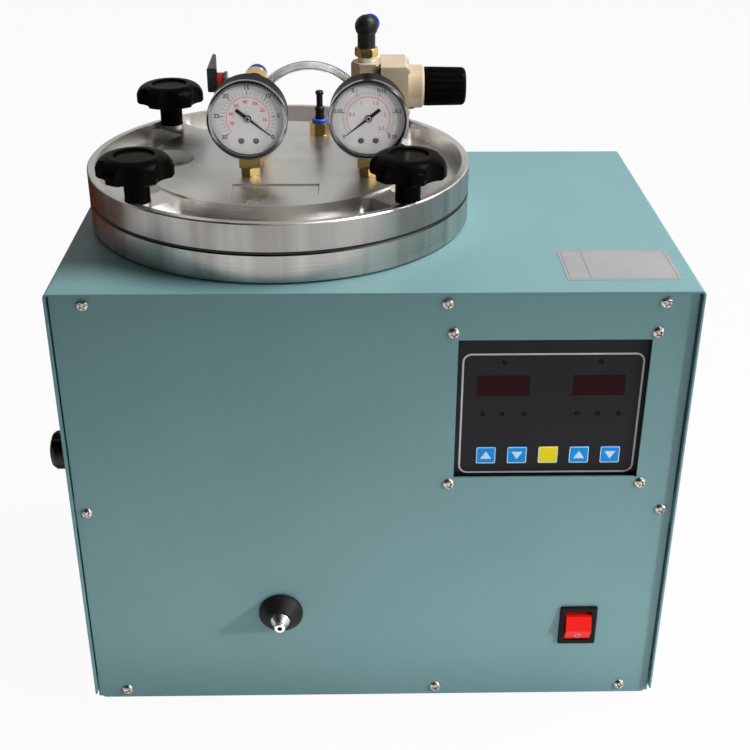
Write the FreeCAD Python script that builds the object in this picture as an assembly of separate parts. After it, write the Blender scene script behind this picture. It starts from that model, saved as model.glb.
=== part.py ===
import FreeCAD
import Part
import math
import os

V = FreeCAD.Vector
X_AXIS = V(1, 0, 0)
Y_AXIS = V(0, 1, 0)
Z_AXIS = V(0, 0, 1)
LEFT = V(-1, 0, 0)
FRONT = V(0, -1, 0)

# Jewelry wax injector.  Millimetres, +X to the right, +Y to the back, +Z up.
# Everything is drawn from the cabinet's middle plane (X = 0), the front edge of
# its cover (Y = 0) and the bench (Z = 0), and moved to the middle of the
# machine's footprint when it is saved.

# ---- Driving dimensions: sheet-metal cabinet
cover_w = 400.0
cover_d = 275.0
cover_h = 313.5
sheet_t = 1.2
cover_bend_r = 2.5
return_h = 18.0
panel_t = 1.5
panel_inset = 3.5
panel_side_gap = 1.2
panel_top_gap = 1.0
panel_drop = 6.0
panel_corner_w = 3.6
panel_corner_h = 2.4
return_end_gap = 3.0
tab_half_h = 12.0
pot_hole_gap = 1.5
vent_rows = 6
vent_pitch = 10.0
vent_w = 58.0
vent_h = 4.0
vent_end_share = 0.49
vent_rise = 110.0
vent_columns = 3
vent_first_x = -110.0
vent_column_pitch = 70.0
tray_t = 1.5
tray_flange_h = 18.0
tray_slots = 5
tray_slot_pitch = 16.0
tray_slot_w = 5.0
tray_slot_l = 90.0
foot_h = 9.0
foot_r = 11.0
foot_draft = 0.8
foot_cup_r = 4.0
foot_cup_h = 4.5
foot_screw_clear = 0.05
foot_edge = 38.0
screw_head_r = 4.0
screw_head_h = 2.3
screw_r = 2.0
screw_length = 8.0
screw_clear = 0.2
screw_side_edge = 22.5
screw_mid_edge = 9.3
screw_row_top = 8.7
screw_row_mid = 160.0
screw_row_bottom = 7.0
screw_between_x = 44.0
fit_clear = 0.15

# ---- Driving dimensions: wax pot, ring and lid
pot_x = -63.5
ring_r = 130.0
ring_front = 12.5
ring_h = 18.8
ring_chamfer = 0.8
pot_bore_r = 92.0
pot_wall = 4.0
pot_depth = 225.0
pot_corner_r = 18.0
pot_gasket_t = 0.8
pot_gasket_w = 10.0
pot_gasket_inset = 2.0
seal_t = 1.0
seal_inset = 0.7
seal_bore_inset = 3.0
lid_h = 18.8
lid_rim_wall = 5.0
lid_disc_r = 92.8
lid_sink = 2.4
lid_floor = 7.0
lid_web_half = 5.2
lid_web_drop = 1.2
lid_bay_corner_r = 8.0
lid_pocket_r = 19.0
lid_pocket_reach = 78.0
lid_pocket_y = 3.0
spot_face_clear = 0.5
lid_spigot_h = 3.0
lid_spigot_wall = 4.0
lid_spigot_clear = 0.4
plate_recess_w = 56.5
plate_recess_d = 21.0
plate_recess_y = -61.0
plate_recess_depth = 0.8
stud_edge = 10.5
stud_r = 4.0
stud_depth = 12.0
stud_rise = 19.0
stud_hole_clear = 0.5
stud_fit = 0.05
stud_point = 1.0
heater_t = 3.0
heater_h = 110.0
heater_rise = 20.0
heater_clear = 0.3
heater_split = 6.0
heater_ear_l = 12.0
heater_ear_w = 12.0
heater_ear_h = 24.0

# ---- Driving dimensions: star knobs
knob_r = 24.3
knob_stem_r = 8.1
knob_stem_h = 16.6
knob_skirt_h = 6.0
knob_dome_h = 7.6
knob_dome_out = 0.76
knob_dome_up = 0.62
knob_recess_r = 12.8
knob_recess_depth = 1.4
knob_lobes = 6
knob_scallop_r = 14.0
knob_scallop_out = 9.4
knob_bore_clear = 0.35
washer_t = 2.0
washer_over = 0.2
knob_edge = 1.2
knob_bore_spare = 1.5
knob_turns = (17.0, 37.0, 30.0, 12.0)

# ---- Driving dimensions: gauges
gauge_left_x = -17.7
gauge_right_x = 60.4
gauge_y = -30.0
gauge_rise = 39.2
gauge_case_r = 25.5
gauge_case_depth = 21.0
gauge_wall = 1.4
gauge_front_y = 12.5
bezel_r = 26.1
bezel_lip = 2.8
bezel_h = 4.4
lens_t = 1.5
dial_t = 0.8
dial_sink = 6.0
pointer_reach = 18.5
pointer_tail = 9.5
pointer_t = 0.5
pointer_hub_r = 2.3
pointer_hub_h = 1.6
spindle_r = 0.9
spindle_clear = 0.05
gauge_screw_r = 1.5
gauge_screw_x = 4.8
gauge_screw_drop = 14.5
gauge_nut_af = 12.0
gauge_nut_h = 5.6
gauge_nut_turn = 30.0
gauge_flats_w = 14.2
gauge_flats_d = 10.0
gauge_neck_r = 4.9
gauge_neck_sink = 4.0
gauge_neck_fit = 0.05
gauge_bore_r = 1.5
lens_back = 3.2
bush_l = 5.0
bush_wall = 1.2
spindle_l = 4.5
port_r = 6.5
port_depth = 9.0
port_gap = 0.5
port_fit = 0.05
port_bore_r = 3.25
gauge_left_zero = -38.0
gauge_right_zero = -142.0

# ---- Driving dimensions: valve, hose, fittings and regulator
valve_x = -17.0
valve_y = 30.0
valve_rise = 45.9
valve_r = 8.6
valve_half_length = 9.0
valve_hex_af = 16.0
tee_r = 6.2
tee_branch_rise = 10.0
tee_branch_r = 4.6
valve_socket_r = 8.4
valve_socket_h = 15.0
valve_boss_r = 3.2
valve_hex_l = 4.0
passage_r = 2.5
branch_bore_r = 2.0
tee_hex_af = 15.0
tee_hex_h = 6.0
tee_fit = 0.05
tee_in_regulator = 4.0
lever_x = -46.0
lever_w = 7.0
lever_h = 16.5
lever_front = 5.0
lever_length = 42.0
lever_splay = 2.4
lever_tip_w = 2.8
lever_tip_h = 5.0
lever_above = 10.6
lever_chamfer = 0.8
lever_hub_r = 6.5
lever_hub_t = 4.5
lever_plate_r = 7.3
lever_plate_t = 2.0
lever_gap = 0.3
lever_stem_r = 2.5
stem_run = 0.06
tube_r = 3.0
tube_bore_r = 2.0
tube_socket_clear = 0.05
sleeve_wall = 0.5
sleeve_l = 4.0
socket_wall_clear = 0.05
socket_edge = 0.6
hose_y = 2.0
elbow_r = 6.1
elbow_ball_r = 7.9
elbow_arm = 13.0
collar_r = 5.3
collar_t = 2.6
collar_gap = 0.05
plug_collar_r = 5.8
inlet_collar_r = 6.4
vacuum_collar_r = 7.0
vacuum_socket_r = 5.8
socket_depth = 12.0
tube_end_gap = 2.0
plug_x = 26.5
plug_y = 60.0
plug_hex_af = 13.0
plug_hex_h = 9.0
plug_length = 22.8
plug_waist_in = 0.7
plug_head_out = 0.5
plug_ring_share = 0.3
plug_ring_t = 2.0
plug_taper = 1.0
plug_dome_h = 3.0
plug_flare_h = 0.6
plug_crown_h = 1.0
reg_x = 60.0
reg_y = 30.0
reg_rise = 42.8
reg_body_w = 36.0
reg_body_start = 9.6
reg_body_end = 28.3
reg_boss_af = 21.2
reg_boss_h = 35.0
reg_boss_shift = 1.6
reg_clip = 1.8
reg_screw_in = 4.2
reg_edge_r = 1.5
reg_screw_r = 1.9
reg_screw_h = 1.4
reg_port_depth = 7.0
reg_bonnet_r = 14.6
reg_bonnet_end = 39.6
reg_knob_r = 13.3
reg_knob_length = 28.6
reg_knob_ribs = 18
reg_rib_depth = 0.9
reg_rib_start = 2.2
reg_groove_share = 1.5
reg_knob_edge = 0.3
reg_knob_edge_l = 0.8
reg_knob_taper = 0.4
reg_bevel_start = 2.5
reg_bevel_break = 0.9
reg_bevel_break_in = 1.2
reg_bevel_in = 2.6
reg_knob_gap = 0.3
reg_stem_r = 6.0
reg_stem_l = 20.0
inlet_rise = 23.4
inlet_arm_turn = 16.0
inlet_arm_r = 5.6
inlet_arm = 9.0
inlet_hex_af = 14.0
inlet_hex_h = 6.2
inlet_tape_h = 3.4
inlet_tape_r = 5.6
inlet_thread_l = 5.0
inlet_stem_r = 2.5
inlet_stem_l = 12.0

# ---- Driving dimensions: controller
ctrl_x = 111.5
ctrl_drop = 84.0
ctrl_open_w = 120.5
ctrl_open_h = 100.5
ctrl_screw_dx = 126.5
ctrl_screw_dz = 110.0
ctrl_sink = 2.5
ctrl_plate_t = 2.0
ctrl_margin = 5.5
board_gap = 5.0
board_t = 1.6
board_w = 116.0
board_h = 96.0
post_r = 3.0
post_dx = 104.0
post_dz = 84.0
key_switch_w = 6.0
relay_w = 19.0
relay_d = 15.0
relay_pitch = 24.0
relay_z = 19.5
relays = 3
terminal_w = 100.0
terminal_d = 12.0
terminal_h = 10.0
terminal_z = -39.0
key_w = 12.8
key_h = 12.3
key_pitch = 20.3
key_x = 1.3
key_z = -35.3
key_count = 5
key_proud = 0.5
key_length = 4.0
key_clear = 0.25
key_travel = 0.5
key_switch_gap = 0.2
key_corner_r = 1.0
key_edge = 0.2
window_w = 33.0
window_h = 14.2
window_x = 30.4
window_z = 16.2
led_r = 1.5
led_dome = 0.4
led_row_z = -4.5
led_row_x = (-42.6, -30.3, -16.1, 18.1, 31.3, 44.9)
led_top_z = 32.9

# ---- Driving dimensions: power switch, nozzle, side valve, label, inlet
switch_x = 142.7
switch_rise = 62.3
switch_w = 26.0
switch_h = 32.0
switch_flange_t = 2.0
switch_open_w = 18.4
switch_open_h = 24.4
switch_body_w = 21.8
switch_body_h = 28.8
switch_body_depth = 22.0
rocker_clear = 0.35
rocker_slope = 20.0
rocker_tilt = 6.0
rocker_skirt = 4.5
rocker_foot_w = 8.0
rocker_foot_l = 3.0
switch_floor = 4.0
switch_edge = 0.6
blade_w = 6.4
blade_t = 0.8
blade_l = 8.0
blade_pitch = 8.0
rocker_proud = 4.4
rocker_pivot_depth = 7.0
rocker_pin_r = 1.5
rocker_pin_run = 0.05
nozzle_left = 1.6
nozzle_drop = 34.4
nozzle_cover_r = 15.2
nozzle_cover_lip = 2.0
nozzle_cover_h = 10.7
nozzle_cover_front_r = 8.3
nozzle_tip_reach = 18.1
nozzle_tip_r = 3.9
nozzle_waist_r = 3.5
nozzle_cone_r = 6.7
nozzle_neck_r = 9.6
nozzle_body_r = 13.0
nozzle_neck_h = 6.5
nozzle_nut_h = 5.0
nozzle_nut_af = 32.0
nozzle_collar_y = 4.0
nozzle_collar_t = 3.0
nozzle_collar_r = 8.9
nozzle_bore_r = 2.6
nozzle_lip_l = 3.0
nozzle_cover_clear = 0.35
nozzle_fit = 0.1
chamber_clear = 0.5
nozzle_run = 0.06
nozzle_travel = 3.0
nozzle_spring_l = 20.0
nozzle_spring_wire = 1.3
spring_seat_gap = 0.05
spring_inset = 0.4
nozzle_spring_turns = 5
nozzle_hole_r = 1.7
nozzle_lip_round = 1.2
outlet_y = 75.0
duct_r = 11.0
duct_bore_r = 4.0
duct_end = 2.0
duct_flange_over = 5.0
duct_flange_t = 5.0
side_valve_y = 45.0
side_valve_rise = 184.0
side_knob_r = 13.4
side_knob_gap = 5.0
side_knob_length = 14.0
side_knob_lobes = 5
side_stem_r = 3.0
side_body_r = 6.0
side_body_l = 24.0
side_proud = 3.6
side_collar_over = 4.0
side_collar_t = 6.0
side_nut_af = 15.0
side_nut_h = 3.0
side_stem_share = 0.7
side_scallop_r = 4.4
side_scallop_out = 2.4
side_knob_turn = -12.0
side_hub_h = 2.5
side_hub_share = 0.6
side_knob_edge = 1.0
side_dome_h = 4.0
side_crown_h = 1.2
side_crown_share = 0.85
label_x = 154.0
label_y = 42.0
label_w = 71.0
label_d = 48.5
label_t = 0.2
mains_x = 120.0
mains_rise = 46.0
mains_flange_w = 50.0
mains_flange_h = 25.0
mains_flange_t = 2.0
mains_body_w = 27.4
mains_body_h = 20.0
mains_depth = 17.0
mains_wall = 1.7
mains_pin_w = 2.0
mains_pin_h = 4.0
mains_pin_l = 13.0
mains_pins = ((-7.0, -1.5), (0.0, 2.5), (7.0, -1.5))
mains_screw_edge = 5.5
mains_screw_r = 3.0
mains_screw_h = 1.8

# ---- Driving dimensions: transformer and solenoid valves on the tray
transformer_x = 130.0
transformer_y = 170.0
core_w = 70.0
core_d = 40.0
core_h = 58.0
core_limb = 12.0
core_window_w = 11.0
coil_w = 46.0
coil_d = 68.0
coil_corner_r = 6.0
bracket_w = 96.0
bracket_d = 24.0
bracket_t = 3.0
solenoids = 2
solenoid_first_x = 62.0
solenoid_pitch = 46.0
solenoid_y = 76.0
solenoid_block = 32.0
solenoid_block_h = 20.0
solenoid_coil_w = 26.0
solenoid_coil_d = 28.0
solenoid_coil_h = 35.0
solenoid_corner_r = 3.0
solenoid_spigot_r = 4.0
solenoid_spigot_l = 56.0
solenoid_cap_r = 5.0
solenoid_cap_h = 4.0

# ---- Places that follow from them
base_z = foot_h
side_z = base_z + panel_drop
top_z = side_z + cover_h
half_w = cover_w / 2
panel_back_y = panel_inset + panel_t
rear_y = cover_d - panel_inset
panel_half_w = half_w - sheet_t - panel_side_gap
panel_top_z = top_z - sheet_t - panel_top_gap
pot_y = ring_front + ring_r
ring_z = top_z + pot_gasket_t
ring_top_z = ring_z + ring_h
lid_z = ring_top_z + seal_t
rim_z = lid_z + lid_h
disc_z = rim_z - lid_sink
pot_out_r = pot_bore_r + pot_wall
pot_floor_z = ring_top_z - pot_depth
stud_angles = (45.0, 135.0, 225.0, 315.0)
stud_circle_r = ring_r - stud_edge
nozzle_x = pot_x - nozzle_left
nozzle_z = pot_floor_z - pot_wall - nozzle_drop
ctrl_z = top_z - ctrl_drop
ctrl_face_y = panel_back_y + ctrl_sink
ctrl_back_y = ctrl_face_y + ctrl_plate_t
board_y = ctrl_back_y + board_gap
switch_z = base_z + switch_rise
side_valve_z = base_z + side_valve_rise
mains_z = base_z + mains_rise
nozzle_tip_y = panel_inset - nozzle_tip_reach
left_reach = half_w + side_knob_gap + side_knob_length
rear_reach = max(cover_d, rear_y + mains_flange_t)
middle_x = (half_w - left_reach) / 2
middle_y = (nozzle_tip_y + rear_reach) / 2


# ---- Small helpers
def save(name, shape):
    """Write one sub-part, moved from cabinet coordinates to the part's own origin."""
    placed = shape.copy()
    placed.translate(V(-middle_x, -middle_y, 0))
    placed.exportStep("parts/" + name + ".step")


def box(x0, x1, y0, y1, z0, z1):
    return Part.makeBox(x1 - x0, y1 - y0, z1 - z0, V(x0, y0, z0))


def centred_box(x, y, width, depth, z0, z1):
    return box(x - width / 2, x + width / 2, y - depth / 2, y + depth / 2, z0, z1)


def rod(radius, length, base, axis=Z_AXIS):
    return Part.makeCylinder(radius, length, base, axis)


def pipe(outer, inner, length, base, axis=Z_AXIS):
    return rod(outer, length, base, axis).cut(rod(inner, length, base, axis))


def aimed(shape, base, axis):
    """Turn a shape drawn up the Z axis towards axis, and set its foot at base."""
    placed = shape.copy()
    placed.Placement = FreeCAD.Placement(base, FreeCAD.Rotation(Z_AXIS, axis))
    return placed


def turned(outline, base, axis=Z_AXIS):
    """Solid of revolution.  An outline step is (radius, height), or a pair of such
    points for an arc through the first one to the second."""
    edges = []
    here = V(outline[0][0], 0, outline[0][1])
    for step in outline[1:] + outline[:1]:
        if isinstance(step[0], tuple):
            through = V(step[0][0], 0, step[0][1])
            there = V(step[1][0], 0, step[1][1])
            edges.append(Part.Arc(here, through, there).toShape())
        else:
            there = V(step[0], 0, step[1])
            edges.append(Part.makeLine(here, there))
        here = there
    solid = Part.Face(Part.Wire(edges)).revolve(V(0, 0, 0), Z_AXIS, 360)
    return aimed(solid, base, axis)


def prism(points, extrusion):
    """Extrude a closed polygon."""
    return Part.Face(Part.makePolygon(points + points[:1])).extrude(extrusion)


def hexagon(across_flats, height, base, axis=Z_AXIS):
    corner = across_flats / math.sqrt(3)
    points = []
    for i in range(6):
        angle = math.radians(60 * i)
        points.append(V(corner * math.cos(angle), corner * math.sin(angle), 0))
    nut = prism(points, V(0, 0, height))
    bevel = corner - across_flats / 2
    round_off = turned(
        [(0, 0), (corner - bevel / 2, 0), (corner, bevel), (corner, height - bevel),
         (corner - bevel / 2, height), (0, height)],
        V(0, 0, 0),
    )
    return aimed(nut.common(round_off), base, axis)


def rounded_slab(width, height, radius, depth, centre_x, centre_z, front_y):
    """A plate lying in an XZ plane with rounded corners."""
    slab = box(-width / 2, width / 2, 0, depth, -height / 2, height / 2)
    edges = [e for e in slab.Edges if abs(e.tangentAt(e.FirstParameter).y) > 0.9]
    slab = slab.makeFillet(radius, edges)
    slab.translate(V(centre_x, front_y, centre_z))
    return slab


def on_lid(x, y, rise=0.0):
    """A point measured from the lid's centre and its disc's top face."""
    return V(pot_x + x, pot_y + y, disc_z + rise)


def on_web(x, y, rise=0):
    """A point over the sunk webs that carry the knobs."""
    return on_lid(x, y, rise - lid_web_drop)


def polar(radius, angle):
    turn = math.radians(angle)
    return radius * math.cos(turn), radius * math.sin(turn)


def pan_screw(base, inward):
    """Pan-head screw whose head stands on base and whose shank runs inward."""
    head = turned(
        [(0, 0), (screw_head_r, 0), (screw_head_r, screw_head_h / 2),
         (screw_head_r / 2, screw_head_h), (0, screw_head_h)],
        base,
        inward * -1,
    )
    return head.fuse(rod(screw_r, screw_length, base, inward)).removeSplitter()


def screw_hole(base, inward):
    return rod(screw_r + screw_clear, 3 * screw_length, base - inward * screw_length, inward)


# ---- Cabinet
def panel_screw_places():
    """Front panel screws as (x, z)."""
    side = half_w - screw_side_edge
    mid = half_w - screw_mid_edge
    top = top_z - screw_row_top
    middle = top_z - screw_row_mid
    bottom = base_z + screw_row_bottom
    rows = [(x, z) for z in (top, bottom) for x in (-side, screw_between_x, side)]
    return rows + [(-mid, middle), (mid, middle)]


def rear_screw_places():
    side = half_w - screw_side_edge
    return [(x, z) for x in (-side, side)
            for z in (top_z - screw_row_top, base_z + screw_row_bottom)]


def outer_cover():
    """One sheet folded over the sides and top, with returns that hold the panels."""
    outer = box(-half_w, half_w, 0, cover_d, side_z, top_z)
    long_top = [e for e in outer.Edges
                if e.Length == cover_d and e.BoundBox.ZMin > top_z - 0.1]
    outer = outer.makeFillet(cover_bend_r, long_top)
    inner_w = half_w - sheet_t
    inner = box(-inner_w, inner_w, -1, cover_d + 1, side_z - 1, top_z - sheet_t)
    long_top = [e for e in inner.Edges
                if e.Length > cover_d and e.BoundBox.ZMin > top_z - sheet_t - 0.1]
    inner = inner.makeFillet(cover_bend_r - sheet_t, long_top)
    cover = outer.cut(inner)
    roof = top_z - sheet_t
    tab_z = top_z - screw_row_mid
    for near, far in ((panel_back_y, panel_back_y + sheet_t),
                      (rear_y - panel_t - sheet_t, rear_y - panel_t)):
        cover = cover.fuse(box(return_end_gap - inner_w, inner_w - return_end_gap,
                               near, far, roof - return_h, roof))
        for side in (-1, 1):
            outer_x = side * inner_w
            inner_x = side * (inner_w - 2 * screw_mid_edge)
            cover = cover.fuse(box(min(outer_x, inner_x), max(outer_x, inner_x), near, far,
                                   tab_z - tab_half_h, tab_z + tab_half_h))
    cover = cover.cut(rod(pot_out_r + heater_clear + heater_t + pot_hole_gap, 4 * sheet_t,
                          V(pot_x, pot_y, top_z - 2 * sheet_t)))
    cover = cover.cut(rod(side_body_r + screw_clear, 4 * sheet_t,
                          V(-half_w - sheet_t, side_valve_y, side_valve_z), X_AXIS))
    for x, z in panel_screw_places():
        cover = cover.cut(screw_hole(V(x, panel_inset, z), Y_AXIS))
    for x, z in rear_screw_places():
        cover = cover.cut(screw_hole(V(x, rear_y, z), FRONT))
    return cover.removeSplitter()


def panel_blank(front_y):
    """Flat panel with clipped lower corners and rounded upper ones."""
    w = panel_half_w
    points = [V(-w + panel_corner_w, front_y, base_z), V(w - panel_corner_w, front_y, base_z),
              V(w, front_y, base_z + panel_corner_h), V(w, front_y, panel_top_z),
              V(-w, front_y, panel_top_z), V(-w, front_y, base_z + panel_corner_h)]
    blank = prism(points, V(0, panel_t, 0))
    upper = [e for e in blank.Edges
             if abs(e.tangentAt(e.FirstParameter).y) > 0.9 and e.BoundBox.ZMin > top_z / 2]
    return blank.makeFillet(cover_bend_r, upper)


def controller_screw_places():
    return [(ctrl_x + sx * ctrl_screw_dx / 2, ctrl_z + sz * ctrl_screw_dz / 2)
            for sx in (-1, 1) for sz in (-1, 1)]


def front_panel():
    panel = panel_blank(panel_inset)
    panel = panel.cut(box(ctrl_x - ctrl_open_w / 2, ctrl_x + ctrl_open_w / 2,
                          0, 2 * panel_back_y,
                          ctrl_z - ctrl_open_h / 2, ctrl_z + ctrl_open_h / 2))
    body_w = switch_body_w / 2 + fit_clear
    body_h = switch_body_h / 2 + fit_clear
    panel = panel.cut(box(switch_x - body_w, switch_x + body_w, 0, 2 * panel_back_y,
                          switch_z - body_h, switch_z + body_h))
    panel = panel.cut(rod(nozzle_neck_r + fit_clear, 2 * panel_back_y,
                          V(nozzle_x, 0, nozzle_z), Y_AXIS))
    for x, z in panel_screw_places() + controller_screw_places():
        panel = panel.cut(screw_hole(V(x, panel_inset, z), Y_AXIS))
    return panel


def back_panel():
    """Rear panel with rows of air slots and the mains inlet's opening."""
    panel = panel_blank(rear_y - panel_t)
    inside_y = rear_y - 2 * panel_t
    for row in range(vent_rows):
        z = base_z + vent_rise + vent_pitch * row
        for column in range(vent_columns):
            x = vent_first_x + vent_column_pitch * column
            slot = rounded_slab(vent_w, vent_h, vent_end_share * vent_h, 3 * panel_t,
                                x, z, inside_y)
            panel = panel.cut(slot)
    half = mains_body_w / 2 + fit_clear
    rise = mains_body_h / 2 + fit_clear
    panel = panel.cut(box(mains_x - half, mains_x + half, inside_y, rear_y + panel_t,
                          mains_z - rise, mains_z + rise))
    for x, z in rear_screw_places():
        panel = panel.cut(screw_hole(V(x, rear_y, z), FRONT))
    return panel


def base_tray():
    """Folded floor with upright flanges behind the panels and inside the cover."""
    w = half_w - sheet_t
    near = panel_back_y
    far = rear_y - panel_t
    tray = box(-w, w, near, far, base_z, base_z + tray_flange_h)
    tray = tray.cut(box(-w + tray_t, w - tray_t, near + tray_t, far - tray_t,
                        base_z + tray_t, base_z + 2 * tray_flange_h))
    for x, z in panel_screw_places():
        tray = tray.cut(screw_hole(V(x, panel_inset, z), Y_AXIS))
    for x, z in rear_screw_places():
        tray = tray.cut(screw_hole(V(x, rear_y, z), FRONT))
    for x, y in foot_places():
        tray = tray.cut(rod(screw_r, 4 * tray_t, V(x, y, base_z - tray_t)))
    for i in range(tray_slots):
        x = pot_x + tray_slot_pitch * (i - (tray_slots - 1) / 2)
        tray = tray.cut(box(x - tray_slot_w / 2, x + tray_slot_w / 2,
                            pot_y - tray_slot_l / 2, pot_y + tray_slot_l / 2,
                            base_z - tray_t, base_z + 2 * tray_t))
    return tray


def foot_places():
    return [(sx * (half_w - foot_edge), y) for sx in (-1, 1)
            for y in (foot_edge, cover_d - foot_edge)]


def rubber_feet():
    """Moulded bumpers, each cupped below for its screw, which is moulded in."""
    feet = []
    for x, y in foot_places():
        foot = turned([(foot_cup_r, 0), (foot_r - foot_draft, 0), (foot_r, foot_h), (0, foot_h),
                       (0, foot_cup_h), (foot_cup_r, foot_cup_h)], V(x, y, 0))
        shank = rod(screw_r - foot_screw_clear, foot_h - foot_cup_h + tray_t, V(x, y, foot_cup_h))
        feet.append(foot.fuse(shank))
    return Part.makeCompound(feet)


def panel_screws():
    front = [pan_screw(V(x, panel_inset, z), Y_AXIS) for x, z in panel_screw_places()]
    rear = [pan_screw(V(x, rear_y, z), FRONT) for x, z in rear_screw_places()]
    return Part.makeCompound(front + rear)


def top_label():
    return box(label_x - label_w / 2, label_x + label_w / 2,
               label_y - label_d / 2, label_y + label_d / 2, top_z, top_z + label_t)


# ---- Controller behind its window
def key_places():
    first = key_x - key_pitch * (key_count - 1) / 2
    return [(ctrl_x + first + key_pitch * i, ctrl_z + key_z) for i in range(key_count)]


def window_places():
    return [(ctrl_x + side * window_x, ctrl_z + window_z) for side in (-1, 1)]


def led_places():
    row = [(ctrl_x + x, ctrl_z + led_row_z) for x in led_row_x]
    return row + [(ctrl_x + side * window_x, ctrl_z + led_top_z) for side in (-1, 1)]


def controller_plate():
    """Black fascia plate with spacers to the panel and posts for the board."""
    w = ctrl_screw_dx / 2 + ctrl_margin
    h = ctrl_screw_dz / 2 + ctrl_margin
    plate = rounded_slab(2 * w, 2 * h, post_r, ctrl_plate_t, ctrl_x, ctrl_z, ctrl_face_y)
    for x, z in controller_screw_places():
        plate = plate.fuse(rod(screw_head_r, ctrl_sink, V(x, panel_back_y, z), Y_AXIS))
        plate = plate.cut(screw_hole(V(x, panel_inset, z), Y_AXIS))
    for sx in (-1, 1):
        for sz in (-1, 1):
            post = V(ctrl_x + sx * post_dx / 2, ctrl_back_y, ctrl_z + sz * post_dz / 2)
            plate = plate.fuse(rod(post_r, board_gap, post, Y_AXIS))
    for x, z in key_places():
        plate = plate.cut(plate_opening(x, z, key_w / 2 + key_clear, key_h / 2 + key_clear))
    for x, z in window_places():
        plate = plate.cut(plate_opening(x, z, window_w / 2 + fit_clear, window_h / 2 + fit_clear))
    for x, z in led_places():
        plate = plate.cut(rod(led_r + fit_clear, 3 * ctrl_plate_t,
                              V(x, ctrl_face_y - ctrl_plate_t, z), Y_AXIS))
    return plate


def plate_opening(x, z, half_width, half_height):
    return box(x - half_width, x + half_width, ctrl_face_y - ctrl_plate_t,
               ctrl_back_y + ctrl_plate_t, z - half_height, z + half_height)


def controller_screws():
    return Part.makeCompound([pan_screw(V(x, panel_inset, z), Y_AXIS)
                              for x, z in controller_screw_places()])


def control_board():
    """Circuit board with the key switches in front, relays and terminals behind."""
    front = board_y
    rear = board_y + board_t
    board = box(ctrl_x - board_w / 2, ctrl_x + board_w / 2, front, rear,
                ctrl_z - board_h / 2, ctrl_z + board_h / 2)
    switch_y = ctrl_face_y - key_proud + key_length + key_travel + key_switch_gap
    half = key_switch_w / 2
    for x, z in key_places():
        board = board.fuse(box(x - half, x + half, switch_y, front, z - half, z + half))
    for i in range(relays):
        x = ctrl_x + relay_pitch * i - board_w / 2 + (board_w - terminal_w) / 2
        z = ctrl_z + relay_z
        board = board.fuse(box(x, x + relay_w, rear, rear + relay_d,
                               z - relay_d / 2, z + relay_d / 2))
    terminals = box(ctrl_x - terminal_w / 2, ctrl_x + terminal_w / 2, rear, rear + terminal_d,
                    ctrl_z + terminal_z - terminal_h / 2, ctrl_z + terminal_z + terminal_h / 2)
    return board.fuse(terminals)


def display_windows():
    return Part.makeCompound([
        box(x - window_w / 2, x + window_w / 2, ctrl_face_y + fit_clear, board_y,
            z - window_h / 2, z + window_h / 2) for x, z in window_places()])


def indicator_leds():
    leds = []
    length = board_y - ctrl_face_y
    for x, z in led_places():
        leds.append(turned([(0, 0), (led_r, 0), (led_r, length - led_dome),
                            (led_r / 2, length), (0, length)], V(x, board_y, z), FRONT))
    return Part.makeCompound(leds)


def membrane_key(index):
    x, z = key_places()[index]
    front_y = ctrl_face_y - key_proud
    key = rounded_slab(key_w, key_h, key_corner_r, key_length, x, z, front_y)
    return key.makeChamfer(key_edge, front_edges(key, front_y))


def front_edges(shape, front_y):
    return [e for e in shape.Edges if e.BoundBox.YMax < front_y + 0.01]


# ---- Power switch
def switch_bezel():
    """Snap-in switch housing: bevelled flange, body, pivot pin and rear blades."""
    flange_y = panel_inset - switch_flange_t
    frame = rounded_slab(switch_w, switch_h, 2 * switch_edge, switch_flange_t,
                         switch_x, switch_z, flange_y)
    frame = frame.makeChamfer(switch_edge, front_edges(frame, flange_y))
    rear_end = panel_inset + switch_body_depth
    body = box(switch_x - switch_body_w / 2, switch_x + switch_body_w / 2, panel_inset, rear_end,
               switch_z - switch_body_h / 2, switch_z + switch_body_h / 2)
    bezel = frame.fuse(body)
    open_x = switch_x - switch_open_w / 2
    bezel = bezel.cut(box(open_x, open_x + switch_open_w,
                          flange_y - switch_flange_t, rear_end - switch_floor,
                          switch_z - switch_open_h / 2, switch_z + switch_open_h / 2))
    pin = V(open_x, panel_inset + rocker_pivot_depth, switch_z)
    bezel = bezel.fuse(rod(rocker_pin_r, switch_open_w, pin, X_AXIS))
    for side in (-1, 0, 1):
        z = switch_z + blade_pitch * side
        bezel = bezel.fuse(box(switch_x - blade_w / 2, switch_x + blade_w / 2,
                               rear_end, rear_end + blade_l, z - blade_t / 2, z + blade_t / 2))
    return bezel.removeSplitter()


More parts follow.
